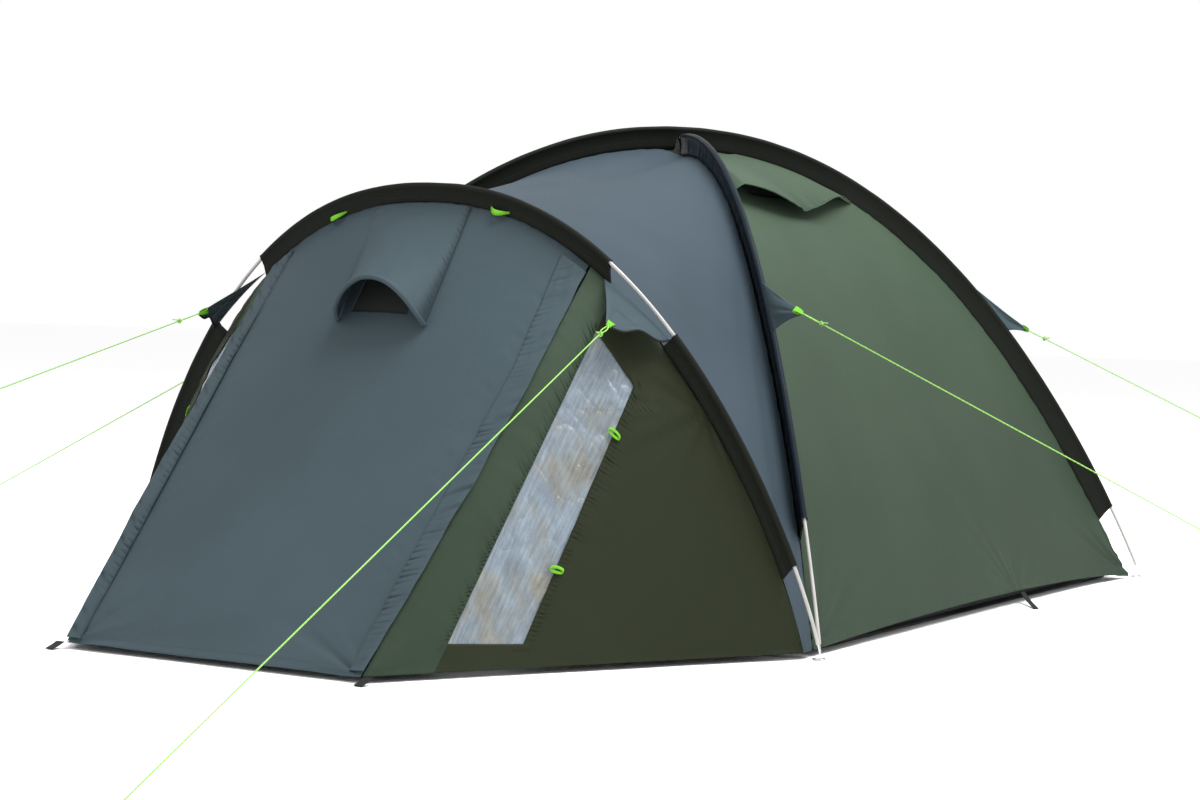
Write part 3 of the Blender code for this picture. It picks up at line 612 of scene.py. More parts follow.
def link_piece(name, mesh, look, thickness=0.0, body="root", nodes=(), smooth=True):
    """A new piece with its material."""
    if smooth:
        mesh.shade_smooth()
    obj = bpy.data.objects.new(name, mesh)
    bpy.context.scene.collection.objects.link(obj)
    mesh.materials.append(LOOKS[look][0])
    if thickness:
        shell = obj.modifiers.new("cloth", "SOLIDIFY")
        shell.thickness = thickness
        shell.offset = 0.0
    if body == "door":
        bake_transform(obj)
    else:
        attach(obj, body)
    if nodes:
        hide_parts(*nodes)
    return obj


def grid_mesh(name, grids, keeps=None, crease=0.0):
    """One mesh of several grids of points, without the cells that aren't kept.

    The crease value says from 0 to 1 how deep in a fold each point lies; the cloth is painted that much
    darker there, as painted shade where little light comes."""
    points, faces, weaves, edges, creases = [], [], [], [], []
    first = 0
    for i, grid in enumerate(grids):
        rows, columns = grid.shape[:2]
        index = np.arange(rows * columns).reshape(rows, columns)
        quads = np.stack([index[:-1, :-1], index[:-1, 1:], index[1:, 1:], index[1:, :-1]], axis=-1)
        keep = keeps[i] if keeps else None
        quads = quads.reshape(-1, 4) if keep is None else quads[keep]
        used, flat = np.unique(quads, return_inverse=True)
        across, down = spans(grid)
        margin = from_edges(across, down)
        weave = np.stack([across - across.mean(axis=1, keepdims=True), down, 0.0 * down], axis=-1)
        points.append(grid.reshape(-1, 3)[used])
        faces.append(flat.reshape(-1, 4) + first)
        weaves.append(weave.reshape(-1, 3)[used])
        edges.append(np.exp(-margin / 0.006).reshape(-1)[used])
        creases.append(np.broadcast_to(crease, margin.shape).reshape(-1)[used])
        first += len(used)
    mesh = bpy.data.meshes.new(name)
    mesh.from_pydata(np.concatenate(points).tolist(), [], np.concatenate(faces).tolist())
    set_attribute(mesh, "weave", "FLOAT_VECTOR", np.concatenate(weaves))
    set_attribute(mesh, "edge", "FLOAT", np.concatenate(edges))
    set_attribute(mesh, "crease", "FLOAT", np.concatenate(creases))
    return mesh


def cloth_piece(name, grid, look, nodes=(), keep=None, body="root", thickness=CLOTH, crease=0.0):
    """One piece of cloth along a grid of points, without the cells that keep leaves out."""
    keeps = None if keep is None else [keep]
    return link_piece(name, grid_mesh(name, [grid], keeps, crease), look, thickness, body, nodes)


def area_of(grid):
    across, down = spans(grid)
    return float((np.diff(across, axis=1)[:-1] * np.diff(down, axis=0)[:, :-1]).sum())


def panel_piece(node, grid, look, held="stretched", prefix="cloth", **settings):
    """A panel in the place of the frame's node."""
    piece = cloth_piece(f"{prefix}_{node}", grid, look, (node,), **settings)
    across, down = spans(grid)
    width, length = float(across[:, -1].max()), float(down[-1].max())
    area = min(area_of(grid), width * length)
    return piece


def rings(points, side, up, radius, sides):
    """Rings of points round a line, between its two side directions."""
    angles = full_turn(sides + 1)
    ring = np.cos(angles)[None, :, None] * side[:, None] + np.sin(angles)[None, :, None] * up[:, None]
    return points[:, None] + ring * radius


def tube_grid(points, radius, sides=12):
    """A closed round tube along a line, its ends drawn in to points."""
    tangents = unit(np.gradient(points, axis=0))
    side = unit(np.cross(tangents, (0.0, 0.0, 1.0)))
    grid = rings(points, side, np.cross(side, tangents), radius, sides)
    first = np.repeat(points[:1, None], sides + 1, axis=1)
    last = np.repeat(points[-1:, None], sides + 1, axis=1)
    return np.concatenate([first, grid, last])


SAME_PLACE = 0.00002


def weld(mesh):
    """Joins the points of a mesh that lie in the same place, as along a tube's seam."""
    builder = bmesh.new()
    builder.from_mesh(mesh)
    bmesh.ops.remove_doubles(builder, verts=builder.verts, dist=SAME_PLACE)
    bmesh.ops.recalc_face_normals(builder, faces=builder.faces)
    builder.to_mesh(mesh)
    builder.free()
    return mesh


def tubes_piece(name, lines, radius, look, nodes=(), body="root", sides=12):
    """One piece of round tubes along these lines."""
    mesh = weld(grid_mesh(name, [tube_grid(np.asarray(line, float), radius, sides) for line in lines]))
    return link_piece(name, mesh, look, 0.0, body, nodes)


def row_of(grid, normals, row):
    """A row of a grid as a line for stitches."""
    return grid[row], normals[row]


def column_of(grid, normals, column, first=0):
    return grid[first:, column], normals[first:, column]


STITCH_LENGTH, STITCH_PITCH = 0.0026, 0.0040
STITCH_HALF, STITCH_RISE = 0.00040, 0.00045


def stitch_piece(node, lines, look, body="root"):
    """Rows of stitches: a small raised dash every few millimetres. Each line has points and normals."""
    name = f"stitching_{node}"
    corners, faces = [], []
    for points, normals in lines:
        distances = lengths_along(points)
        at = np.arange(STITCH_PITCH, distances[-1] - STITCH_PITCH, STITCH_PITCH)
        middle = pick(points, distances, at)
        along = unit(pick(points, distances, at + 0.001) - pick(points, distances, at - 0.001))
        up = unit(pick(normals, distances, at))
        side = np.cross(along, up)
        ends = along * STITCH_LENGTH / 2
        crest = middle + up * (CLOTH / 2 + STITCH_RISE)
        low = middle + up * (CLOTH / 2 - 0.0003)
        four = [low - ends, low + ends, crest - ends * 0.45, crest + ends * 0.45]
        sides = [low - side * STITCH_HALF, low + side * STITCH_HALF]
        block = np.stack(four + sides, axis=1)
        base = sum(len(c) for c in corners) + 6 * np.arange(len(at))[:, None]
        shape = [(0, 4, 2), (2, 4, 3), (3, 4, 1), (0, 2, 5), (2, 3, 5), (3, 1, 5), (0, 5, 4), (4, 5, 1)]
        corners.append(block.reshape(-1, 3))
        faces += [(base + triangle).tolist() for triangle in np.array(shape)]
    mesh = bpy.data.meshes.new(name)
    mesh.from_pydata(np.concatenate(corners).tolist(), [], [f for group in faces for f in group])
    return link_piece(name, mesh, look, 0.0, body, (), smooth=False)


def inset_line(grid, normals, distance, from_left=True):
    """A line down a grid, this far in from its left or right edge."""
    across, _ = spans(grid)
    points, ups = [], []
    for row, up, reach in zip(grid, normals, across):
        at = distance if from_left else reach[-1] - distance
        if 0.0 < at < reach[-1]:
            points.append([np.interp(at, reach, row[:, k]) for k in range(3)])
            ups.append([np.interp(at, reach, up[:, k]) for k in range(3)])
    return np.array(points), np.array(ups)


def turned_quarter(grid):
    """The same grid with its rows and columns swapped."""
    return grid.transpose(1, 0, 2)


# ---------------------------------------------------------------- poles and rings

END_STEPS = 6  # how many of a pole's steps each of its end pieces takes
ROD_PITCH = 0.012  # from one ring of a rod's points to the next
JOINT_GAP = 0.0006
FERRULE_HALF = 0.035
FERRULE_WALL = 0.0006
RING_RADIUS = 0.014
WIRE_RADIUS = 0.0020
PIN_REACH = 0.012  # how far a pin goes up inside its pole


def make_pole(names, line, steps):
    """Three lengths of one bent pole, joined by ferrules. steps counts the steps along all of it."""
    distances = lengths_along(line)
    upward = unit(line[20] - line[0])
    foot = POLE_FOOT_Z / upward[2]
    total = distances[-1]
    cuts = (foot, total * END_STEPS / steps, total * (1.0 - END_STEPS / steps), total - foot)
    for name, start, end in zip(names, cuts[:-1], cuts[1:]):
        count = int((end - start) / ROD_PITCH) + 2
        points = pick(line, distances, np.linspace(start + JOINT_GAP, end - JOINT_GAP, count))
        tubes_piece(f"rod_{name}", [points], POLE_RADIUS, "rod", (name,))
    ferrules = []
    for cut in cuts[1:3]:
        ferrules.append(pick(line, distances, np.linspace(cut - FERRULE_HALF, cut + FERRULE_HALF, 9)))
    tubes_piece(f"ferrules_{names[1]}", ferrules, POLE_RADIUS + FERRULE_WALL, "steel")


def make_poles():
    upper = main_pole(FRONT_LEFT, REAR_RIGHT)
    lower = main_pole(FRONT_RIGHT, REAR_LEFT)
    for name, line in (("upper", upper), ("lower", lower)):
        names = [f"main_pole_{name}_{end}" for end in ("front", "middle", "rear")]
        make_pole(names, line, 2 * MAIN_STEPS)
    make_pole([f"porch_pole_{end}" for end in ("left", "top", "right")], arch_line(), ARCH_STEPS)


def make_corner_ring(name, corner):
    """A wire ring on the ground with a pin for each pole that ends there."""
    side_x, side_y = corner
    foot = np.array([side_x * HALF_WIDTH, DOME_Y + side_y * HALF_LENGTH, 0.0])
    inward = -unit((side_x * HALF_WIDTH, side_y * HALF_LENGTH, 0.0))
    centre = foot + inward * RING_RADIUS + (0.0, 0.0, WIRE_RADIUS)
    angles = full_turn(41)
    circle = centre + RING_RADIUS * np.stack([np.cos(angles), np.sin(angles), 0.0 * angles], axis=1)
    lines = [circle]
    poles = [main_half(corner)[::-1]]
    if side_y < 0:
        poles.append(arch_line()[:: -side_x])
    for pole in poles:
        upward = unit(pole[30] - pole[0])
        top = foot + upward * (POLE_FOOT_Z + PIN_REACH) / upward[2]
        lines.append(lerp(foot + (0.0, 0.0, 0.003), top, np.linspace(0.0, 1.0, 7)[:, None]))
    tubes_piece(f"wire_{name}", lines, WIRE_RADIUS, "steel", (name,))


# ---------------------------------------------------------------- sleeves

SLEEVE_HALF = 0.0015  # half the thickness of the flat band, which is two layers of cloth
CHANNEL_RADIUS, LINING_RADIUS = 0.0079, 0.0056
BAND_START = 0.0125  # below the middle of the pole
BAND_SHARES = (0.22, 0.45, 0.7, 1.0)
BAND_SEAMS = ((16, -1.0), (21, 1.0))  # the outline's points at 0.45 of each face, and where it faces


def sleeve_section(depth):
    """The closed outline of a sleeve: round over the pole, then a flat band. (aside, outward) pairs."""
    crown = np.radians(np.linspace(-52.0, 232.0, 15))  # the channel's outer skin
    points = [(CHANNEL_RADIUS * math.cos(a), CHANNEL_RADIUS * math.sin(a)) for a in crown]
    for face, shares in ((-SLEEVE_HALF, BAND_SHARES), (SLEEVE_HALF, BAND_SHARES[::-1])):
        points += [(face, -BAND_START - (depth - BAND_START) * share) for share in shares]
    return np.array(points + points[:1])


def sleeve_grids(points, plane_normal, depths, seed, ruffle, slants):
    """The skin of a sleeve and the lining of its channel, along a stretch of pole.

    slants says how much further each end reaches at the foot of the band than at the pole."""
    normals = outward(points, plane_normal)
    along = lengths_along(points)
    near_start = hill(along, 0.05) * -slants[0]
    near_end = hill(along[-1] - along, 0.05) * slants[1]
    reach = near_start + near_end
    tangents = unit(np.gradient(points, axis=0))
    skin = []
    for p, n, s, depth, lean in zip(points, normals, along, depths, reach[:, None] * tangents):
        section = sleeve_section(depth)
        below = np.clip(-section[:, 1] / depth, 0.0, 1.0)
        sway = ruffle * below * (1.15 - below) * 2.4
        wave = noise(s / 0.020, below * 2.2, seed) + 0.6 * noise(s / 0.011, below * 3.0, seed + 1)
        aside = section[:, 0] + sway * wave
        aside += 0.0014 * below * noise(s / 0.16, 0.0, seed + 2)
        bulge = 0.0005 * noise(s / 0.05, section[:, 0] / 0.006, seed + 3) * (1.0 - below)
        ring = np.outer(aside, plane_normal) + np.outer(section[:, 1] + bulge, n)
        skin.append(p + ring + np.outer(below, lean))
    across = np.broadcast_to(plane_normal, normals.shape)
    return np.array(skin), rings(points, across, normals, LINING_RADIUS, 12)


def make_sleeve(name, points, plane_normal, look, depths, seed, ruffle=0.0006, slants=(0.0, 0.0)):
    """A fabric sleeve that stands for the frame's node of that name, with a bound mouth at each end."""
    depths = np.broadcast_to(depths, len(points))
    skin, lining = sleeve_grids(points, plane_normal, depths, seed, ruffle, slants)
    link_piece(f"cloth_{name}", weld(grid_mesh(name, [skin, lining])), look, 0.0, "root", (name,))
    tubes_piece(f"binding_{name}", [skin[0], skin[-1]], 0.0011, "tape", sides=8)
    lines = []
    for column, face in BAND_SEAMS:
        track = skin[:, column]
        lines.append((track, np.repeat(face * plane_normal[None], len(track), axis=0)))
    thread = "thread_green" if look == "black" else "thread_dark"
    stitch_piece(name, lines, thread)


def stretch(line, start, end, pitch=0.005):
    """The part of a line between two distances, with a point every few millimetres."""
    distances = lengths_along(line)
    return pick(line, distances, np.linspace(start, end, int((end - start) / pitch) + 2))


def make_main_sleeves():
    upper = main_pole(FRONT_LEFT, REAR_RIGHT)
    total = lengths_along(upper)[-1]
    step = total / (2 * MAIN_STEPS)
    points = stretch(upper, 4 * step, total - 3 * step)
    from_crossing = np.linalg.norm((points - upper[len(upper) // 2])[:, :2], axis=1)
    shallow = np.exp(-((from_crossing / 0.019) ** 6))
    depths = SLEEVE_DEPTH - (SLEEVE_DEPTH - 0.0165) * shallow
    plane = main_plane(REAR_RIGHT, FORWARD)
    make_sleeve("sleeve_upper", points, plane, "black", depths, 11, slants=(0.02, 0.02))
    plane = main_plane(FRONT_RIGHT, FORWARD)
    front = stretch(main_half(FRONT_RIGHT), 0.014, 21.5 * step)
    # this sleeve takes the roof cloth painted darker: painted shade on its band
    make_sleeve("sleeve_lower_front", front, plane, "roof_painted_shade", SLEEVE_DEPTH, 21, 0.0020, (0.018, 0.026))
    rear = stretch(main_half(REAR_LEFT), 0.014, 23 * step)
    make_sleeve("sleeve_lower_rear", rear, plane, "black", SLEEVE_DEPTH, 31, slants=(0.0, 0.02))


def make_porch_sleeves():
    arch = arch_line()
    total = lengths_along(arch)[-1]
    step = total / ARCH_STEPS
    stretches = (
        ("left", 2.8, 10.25, (0.024, 0.0)),
        ("top", 13.15, 26.85, (0.024, 0.036)),
        ("right", 29.8, 37.2, (0.0, 0.024)),
    )
    for seed, (end_name, start, end, slants) in enumerate(stretches, 41):
        name = f"porch_sleeve_{end_name}"
        points = stretch(arch, start * step, end * step)
        make_sleeve(name, points, ARCH_PLANE, "black", ARCH_SLEEVE_DEPTH, seed, slants=slants)


# ---------------------------------------------------------------- flysheet gores


def gore_grid(left, right, toward, rows, columns, sag=0.030, hem_rise=0.022):
    """A gore between two half poles: level lines across it, drawn in a little between them."""
    edges = [gore_edge(corner, toward, rows) for corner in (left, right)]
    planes = [main_plane(corner, toward) for corner in (left, right)]
    normals = [resample(outward(main_half(c), p), rows) for c, p in zip((left, right), planes)]
    t = np.linspace(0.0, 1.0, rows)[:, None, None]
    v = np.linspace(0.0, 1.0, columns)[None, :, None]
    belly = 4.0 * v * (1.0 - v)
    drawn = sag * np.clip(np.sin(math.pi * t**0.8), 0.0, 1.0) ** 0.7
    grid = lerp(edges[0][:, None], edges[1][:, None], v)
    grid = grid - unit(normals[0] + normals[1])[:, None] * drawn * belly
    grid[..., 2] += (hem_rise * belly * t**6)[..., 0]
    return grid


def wrinkled_gore(grid, seed, pulls=()):
    """Seam puckers, slack waves and creases from the points where the cloth is pulled."""
    across, down = spans(grid)
    width = across[:, -1:]
    height = 0.0011 * side_puckers(across, down, seed) * np.minimum(width / 0.3, 1.0)
    height += 0.0035 * noise(across / 0.42, down / 0.6, seed + 2)
    height += 0.0012 * noise(across / 0.16, down / 0.30, seed + 3)
    height += 0.0011 * pucker(down[-1:] - down, across, seed + 4, 0.020, 0.030)
    fold = down[-1:] - down
    height += np.where(fold < 0.014, 0.0007, 0.0)
    for number, (place, depth) in enumerate(pulls):
        height += depth * tension(place, grid, seed + 5 + number)
    return grid + normals_of(grid) * height[..., None]


SIDE_VENT_DOWN = (1.0 / 14.0, 3.0 / 14.0)  # shares of a side gore, where its vent is cut
SIDE_VENT_ACROSS = (0.25, 0.75)


def hole_cells(rows_at, columns_at, row_range, column_range):
    """A mask of the grid's cells that is false inside a rectangle of its two shares."""
    row_middle = (rows_at[:-1] + rows_at[1:]) / 2
    column_middle = (columns_at[:-1] + columns_at[1:]) / 2
    in_rows = (row_middle > row_range[0]) & (row_middle < row_range[1])
    in_columns = (column_middle > column_range[0]) & (column_middle < column_range[1])
    return ~(in_rows[:, None] & in_columns[None, :])


SEAM_ROWS = (0.006, 0.011)  # each row of stitches lies this far in from a panel's edge


def side_stitches(grid, normals):
    """Two rows of stitches along each side edge of a panel."""
    return [inset_line(grid, normals, d, side) for d in SEAM_ROWS for side in (True, False)]


def seam_stitches(name, grid, look):
    """Two rows of stitches along each side edge of a panel, and one along its hem."""
    normals = normals_of(grid)
    lines = side_stitches(grid, normals)
    lines.append(inset_line(turned_quarter(grid), turned_quarter(normals), 0.013, False))
    stitch_piece(name, lines, look)


def make_side_gore(name, left, right, toward, seed):
    """A green side panel with a hole for its vent, backed by netting."""
    rows, columns = 197, 233
    grid = gore_grid(left, right, toward, rows, columns)
    side = toward[0]
    front_foot = np.array([side * 0.96, DOME_Y - 1.07, 0.02])
    rear_foot = np.array([side * 0.96, DOME_Y + 1.07, 0.02])
    peg = np.array([side * 0.975, DOME_Y + 0.22, 0.02])
    reach = np.linalg.norm(grid - grid[-1, -1], axis=-1)
    drawn = np.array([side * 0.034, -0.018, -0.008])  # its rear corner reaches past the pole's foot
    grid = grid + np.exp(-reach / 0.13)[..., None] * drawn
    pulls = [(front_foot, 0.005), (rear_foot, 0.006), (peg, 0.003)]
    grid = wrinkled_gore(grid, seed, pulls)
    shares = np.linspace(0.0, 1.0, rows), np.linspace(0.0, 1.0, columns)
    keep = hole_cells(*shares, SIDE_VENT_DOWN, SIDE_VENT_ACROSS)
    node = f"fly_{name}_gore"
    panel_piece(node, grid, "green", keep=keep)
    r0, r1 = (int(round(s * (rows - 1))) for s in SIDE_VENT_DOWN)
    c0, c1 = (int(round(s * (columns - 1))) for s in SIDE_VENT_ACROSS)
    behind = grid - normals_of(grid) * 0.0012
    net = behind[r0 - 2 : r1 + 3 : 2, c0 - 2 : c1 + 3 : 2]
    cloth_piece(f"net_{node}", net, "net", thickness=NET)
    seam_stitches(node, grid, "thread_green")


def make_rear_gore():
    grid = wrinkled_gore(gore_grid(REAR_LEFT, REAR_RIGHT, BACKWARD, 191, 221), 70)
    panel_piece("fly_rear_gore", grid, "slate")
    seam_stitches("fly_rear_gore", grid, "thread_dark")


def roof_grid(rows, columns):
    """The panel from the main poles to the porch pole. Rows run from the left hem to the right hem."""
    left, right = gore_edge(FRONT_LEFT, FORWARD, 600), gore_edge(FRONT_RIGHT, FORWARD, 600)
    back = resample(np.concatenate([left[::-1], right]), rows)
    arch = np.concatenate([arch_seam(-1, -SEAM_GAP)[::-1], arch_seam(1, -SEAM_GAP)])
    front = resample(arch, rows)
    t = np.abs(np.linspace(-1.0, 1.0, rows))[:, None, None]
    v = np.linspace(0.0, 1.0, columns)[None, :, None]
    grid = lerp(back[:, None], front[:, None], v)
    grid[..., 2] -= (0.022 * 4.0 * v * (1.0 - v) * np.cos(math.pi / 2 * t))[..., 0]
    return grid


def make_roof():
    grid = roof_grid(401, 119)
    across, down = spans(grid)
    width = across[:, -1:]
    height = 0.0011 * side_puckers(across, down, 80) * np.minimum(width / 0.25, 1.0)
    height += 0.0030 * noise(across / 0.34, down / 0.5, 82) * np.minimum(width / 0.5, 1.0)
    height += 0.0011 * noise(across / 0.20, down / 0.13, 83)
    middle = (0.0, -0.2, 0.2)
    grid = grid + normals_of(grid, middle) * height[..., None]
    panel_piece("fly_roof_gore", grid, "roof")
    stitch_piece("fly_roof_gore", side_stitches(grid, normals_of(grid, middle)), "thread_dark")


# ---------------------------------------------------------------- porch sides and windows

WINDOW_U = (0.08, 0.22)  # shares of a porch side: back from the door, and down from the pole
WINDOW_W = (0.14, 0.93)
TIE_SHARES = (0.217, 0.727)  # shares of the window's height, where its ties are
PANE_COLUMNS = (18, 42)  # the lines of the side's grid along the window's edges
PANE_ROWS = (16, 386)


def door_corner(side):
    return np.array([side * DOOR_FOOT_HALF, DOME_Y + DOOR_FOOT_Y, HEM_Z])


def porch_side_grid(side, u, w):
    """Points of a porch side: u runs back from the door's edge, w down from the porch pole."""
    line = arch_seam(side)
    line = resample(line[np.abs(line[:, 0]) >= DOOR_TOP_HALF], 1200)
    distances = lengths_along(line)
    top = pick(line, distances, u * distances[-1])
    hem = lerp(door_corner(side), line[-1], (u**0.75)[:, None])
    slant = 0.30 * np.clip(u[None, :] - 0.15, -0.1, 0.1) * hill(w[:, None] - 0.14, 0.06)
    return lerp(top[None], hem[None], (w[:, None] + slant)[..., None])


def stations(*stops):
    """Shares from 0 to 1 that hit each stop. Stops come as (share, cells up to it)."""
    runs = [np.array([0.0])]
    last = 0.0
    for share, cells in stops:
        runs.append(np.linspace(last, share, cells + 1)[1:])
        last = share
    return np.concatenate(runs)


def make_porch_side(name, side):
    first, last = PANE_COLUMNS
    top, foot = PANE_ROWS
    u = stations((WINDOW_U[0], first), (WINDOW_U[1], last - first), (1.0, 62))
    w = stations((WINDOW_W[0], top), (WINDOW_W[1], foot - top), (1.0, 14))
    grid = porch_side_grid(side, u, w)
    across, down = spans(grid)
    ww = np.broadcast_to(w[:, None], across.shape)
    inside = (ww > WINDOW_W[0] - 0.02) & (ww < WINDOW_W[1] + 0.02)
    before, after = across[:, first, None] - across, across - across[:, last, None]
    beside = np.abs(np.where(before > 0.0, before, after))
    outside = (before > 0.0) | (after > 0.0)
    ticks = gathers(beside, down, 90 + side, 0.0115, 0.021) * (inside & outside)
    height = -0.0042 * ticks
    height += 0.0022 * hill(beside - 0.012, 0.010) * inside
    height += 0.0014 * pucker(beside, down, 92 + side, 0.045, 0.030) * inside
    height += 0.0009 * hill(beside, 0.003) * (ww > WINDOW_W[0])
    height += 0.0012 * pucker(across, down, 94 + side) + 0.0012 * pucker(down, across, 95 + side)
    height += 0.0040 * noise(across / 0.30, down / 0.45, 96 + side) * np.minimum(down / 0.1, 1.0)
    height += 0.0012 * noise(across / 0.10, down / 0.22, 97 + side)
    height += 0.0012 * pucker(down[-1:] - down, across, 98 + side, 0.02, 0.03)
    tab_foot = grid[0, 58]
    height += 0.0060 * tension(tab_foot, grid, 99 + side, 12.0, 0.16)
    height += 0.0040 * tension(door_corner(side), grid, 101 + side, 8.0, 0.22)
    centre = (side * 0.3, -0.4, 0.2)
    grid = grid + normals_of(grid, centre) * height[..., None]
    keep = hole_cells(w, u, WINDOW_W, WINDOW_U)
    node = f"porch_side_{name}"
    # Painted shade: the gathers beside the window are painted darker through the crease value.
    panel = panel_piece(node, grid, "olive", keep=keep, crease=np.minimum(ticks * 1.5, 1.0))
    panel.data.materials.append(LOOKS["green"][0])
    strip = np.zeros(keep.shape, int)  # the cells between the door and the window take the lighter green cloth
    strip[:, :first] = 1
    panel.data.polygons.foreach_set("material_index", strip[keep])
    normals = normals_of(grid, centre)
    lines = [inset_line(grid, normals, d) for d in SEAM_ROWS]
    lines += [column_of(grid, normals, column) for column in (first - 1, last + 2)]
    for row in (top - 1, foot + 1):
        lines.append(row_of(grid[:, first : last + 1], normals[:, first : last + 1], row))
    lines.append(row_of(grid, normals, -4))
    stitch_piece(node, lines, "thread_green")
    pane = np.s_[top - 2 : foot + 3, first - 2 : last + 3]
    make_window(name, side, grid[pane], normals[pane])


def finer(grid, times):
    """A grid with more points, along straight lines between the ones it has."""
    r, c = (np.linspace(0, n - 1, (n - 1) * times + 1) for n in grid.shape[:2])
    r0, c0 = (np.minimum(at.astype(int), n - 2) for at, n in zip((r, c), grid.shape))
    fr, fc = (r - r0)[:, None, None], (c - c0)[None, :, None]
    near = lerp(grid[r0][:, c0], grid[r0][:, c0 + 1], fc)
    return lerp(near, lerp(grid[r0 + 1][:, c0], grid[r0 + 1][:, c0 + 1], fc), fr)


def make_window(name, side, grid, normals):
    """A pane of creased film sewn behind the panel, with two ties beside it."""
    grid, normals = finer(grid, 2), unit(finer(normals, 2))
    across, down = spans(grid)
    slant = (across * 0.8 + down * 0.6, down * 0.8 - across * 0.6)
    creases = 0.0018 * ridges(slant[0] / 0.060, slant[1] / 0.16, 110 + side)
    creases += 0.0012 * ridges(across / 0.05 + down / 0.09, down / 0.045, 112 + side)
    creases += 0.0011 * noise(across / 0.010, down / 0.050, 114 + side)
    depth = 0.0022 + creases * np.clip((from_edges(across, down) - 0.008) / 0.02, 0.0, 1.0)
    pane_grid = grid - normals * depth[..., None]
    panel_piece(f"porch_window_{name}", pane_grid, "film", prefix="film", thickness=FILM)
    for number, share in enumerate(TIE_SHARES):
        row = int(share * (len(grid) - 1))
        edge = grid.shape[1] - 2
        start, normal = grid[row, edge], normals[row, edge]
        inward = unit(grid[row, edge - 20] - start)
        fall = unit(grid[row + 8, edge] - start)
        rows = []
        for t in np.linspace(0.0, 1.0, 25):
            turn = 2.0 * math.pi * t
            spine = start + inward * 0.017 * (1.0 - math.cos(turn)) + fall * (0.004 + 0.006 * math.sin(turn))
            spine = spine + normal * (0.0025 + 0.0035 * (1.0 - math.cos(turn)))
            rows.append([spine - fall * 0.004, spine, spine + fall * 0.004 + normal * 0.002])
        cloth_piece(f"window_tie_{name}_{number + 1}", np.array(rows), "lime_tape", thickness=0.0012)


# ---------------------------------------------------------------- door

DOOR_GAP = 0.004
DOOR_VENT_V = (-0.14, 0.22)  # shares of the door: across from its middle, and down it
DOOR_VENT_W = (0.12, 0.26)
DOOR_VENT_COLUMNS = (70, 102)  # the lines of the door's grid along the vent's edges
DOOR_VENT_ROWS = (24, 48)
HOOD_TOP_V, HOOD_BRIM_V = 0.30, 0.28
HOOD_LENGTH = 0.267
HOOD_RECESS = 0.04  # the middle of the brim lies this much higher on the door


def door_line():
    line = arch_seam(1)
    return line[line[:, 0].argsort()]


DOOR_LINE = door_line()


def door_points(v, w):
    """Points of the door and its normals: v runs from its left edge at -1 to 1, w down it."""
    v, w = np.broadcast_arrays(np.asarray(v, float), np.asarray(w, float))
    x = np.abs(v) * (DOOR_TOP_HALF - DOOR_GAP)
    heights = [np.interp(x, DOOR_LINE[:, 0], DOOR_LINE[:, k]) for k in (1, 2)]
    top = np.stack([v * (DOOR_TOP_HALF - DOOR_GAP), *heights], axis=-1)
    level = 0.0 * v
    foot = [v * (DOOR_FOOT_HALF - DOOR_GAP), level + DOME_Y + DOOR_FOOT_Y, level + HEM_Z]
    foot = np.stack(foot, axis=-1)
    normal = unit(np.cross(unit(foot - top), (1.0, 0.0, 0.0)))
    normal = normal * np.where(normal[..., 1:2] > 0.0, -1.0, 1.0)
    return lerp(top, foot, w[..., None]), normal


def make_door():
    first, last = DOOR_VENT_COLUMNS
    top, foot = DOOR_VENT_ROWS
    left, right = ((1.0 + v) / 2 for v in DOOR_VENT_V)
    v = stations((left, first), (right, last - first), (1.0, 70)) * 2.0 - 1.0
    w = stations((DOOR_VENT_W[0], top), (DOOR_VENT_W[1], foot - top), (1.0, 172))
    flat, normals = door_points(v[None, :], w[:, None])
    across, down = spans(flat)
    width = across[:, -1:]
    height = 0.0012 * pucker(down, across, 120) + 0.0010 * pucker(down[-1:] - down, across, 121, 0.02, 0.03)
    height += 0.0045 * noise(across / 0.36, down / 0.55, 122) * np.minimum(down / 0.15, 1.0)
    height += 0.0012 * noise(across / 0.11, down / 0.30, 123)
    flap = np.minimum(across, width - across)
    height += 0.0010 * pucker(np.abs(flap - 0.07), down, 124, 0.03, 0.02)
    for side in (-1, 1):
        height += 0.0050 * tension(door_corner(side), flat, 125 + side, 9.0, 0.30)
    height += np.where(down[-1:] - down < 0.016, 0.0007, 0.0)
    grid = flat + normals * height[..., None]
    keep = hole_cells(w, v, DOOR_VENT_W, DOOR_VENT_V)
    panel_piece("door_panel", grid, "slate", keep=keep, body="door")
    net = (grid - normals * 0.0014)[top - 2 : foot + 3 : 2, first - 2 : last + 3 : 2]
    cloth_piece("net_door_vent", net, "net", body="door", thickness=NET)
    lines = [row_of(grid, normals, row) for row in (-5, 1)]
    stitch_piece("door_panel", lines, "thread_dark", "door")
    for name, side in SIDES:
        make_storm_flap(name, side)


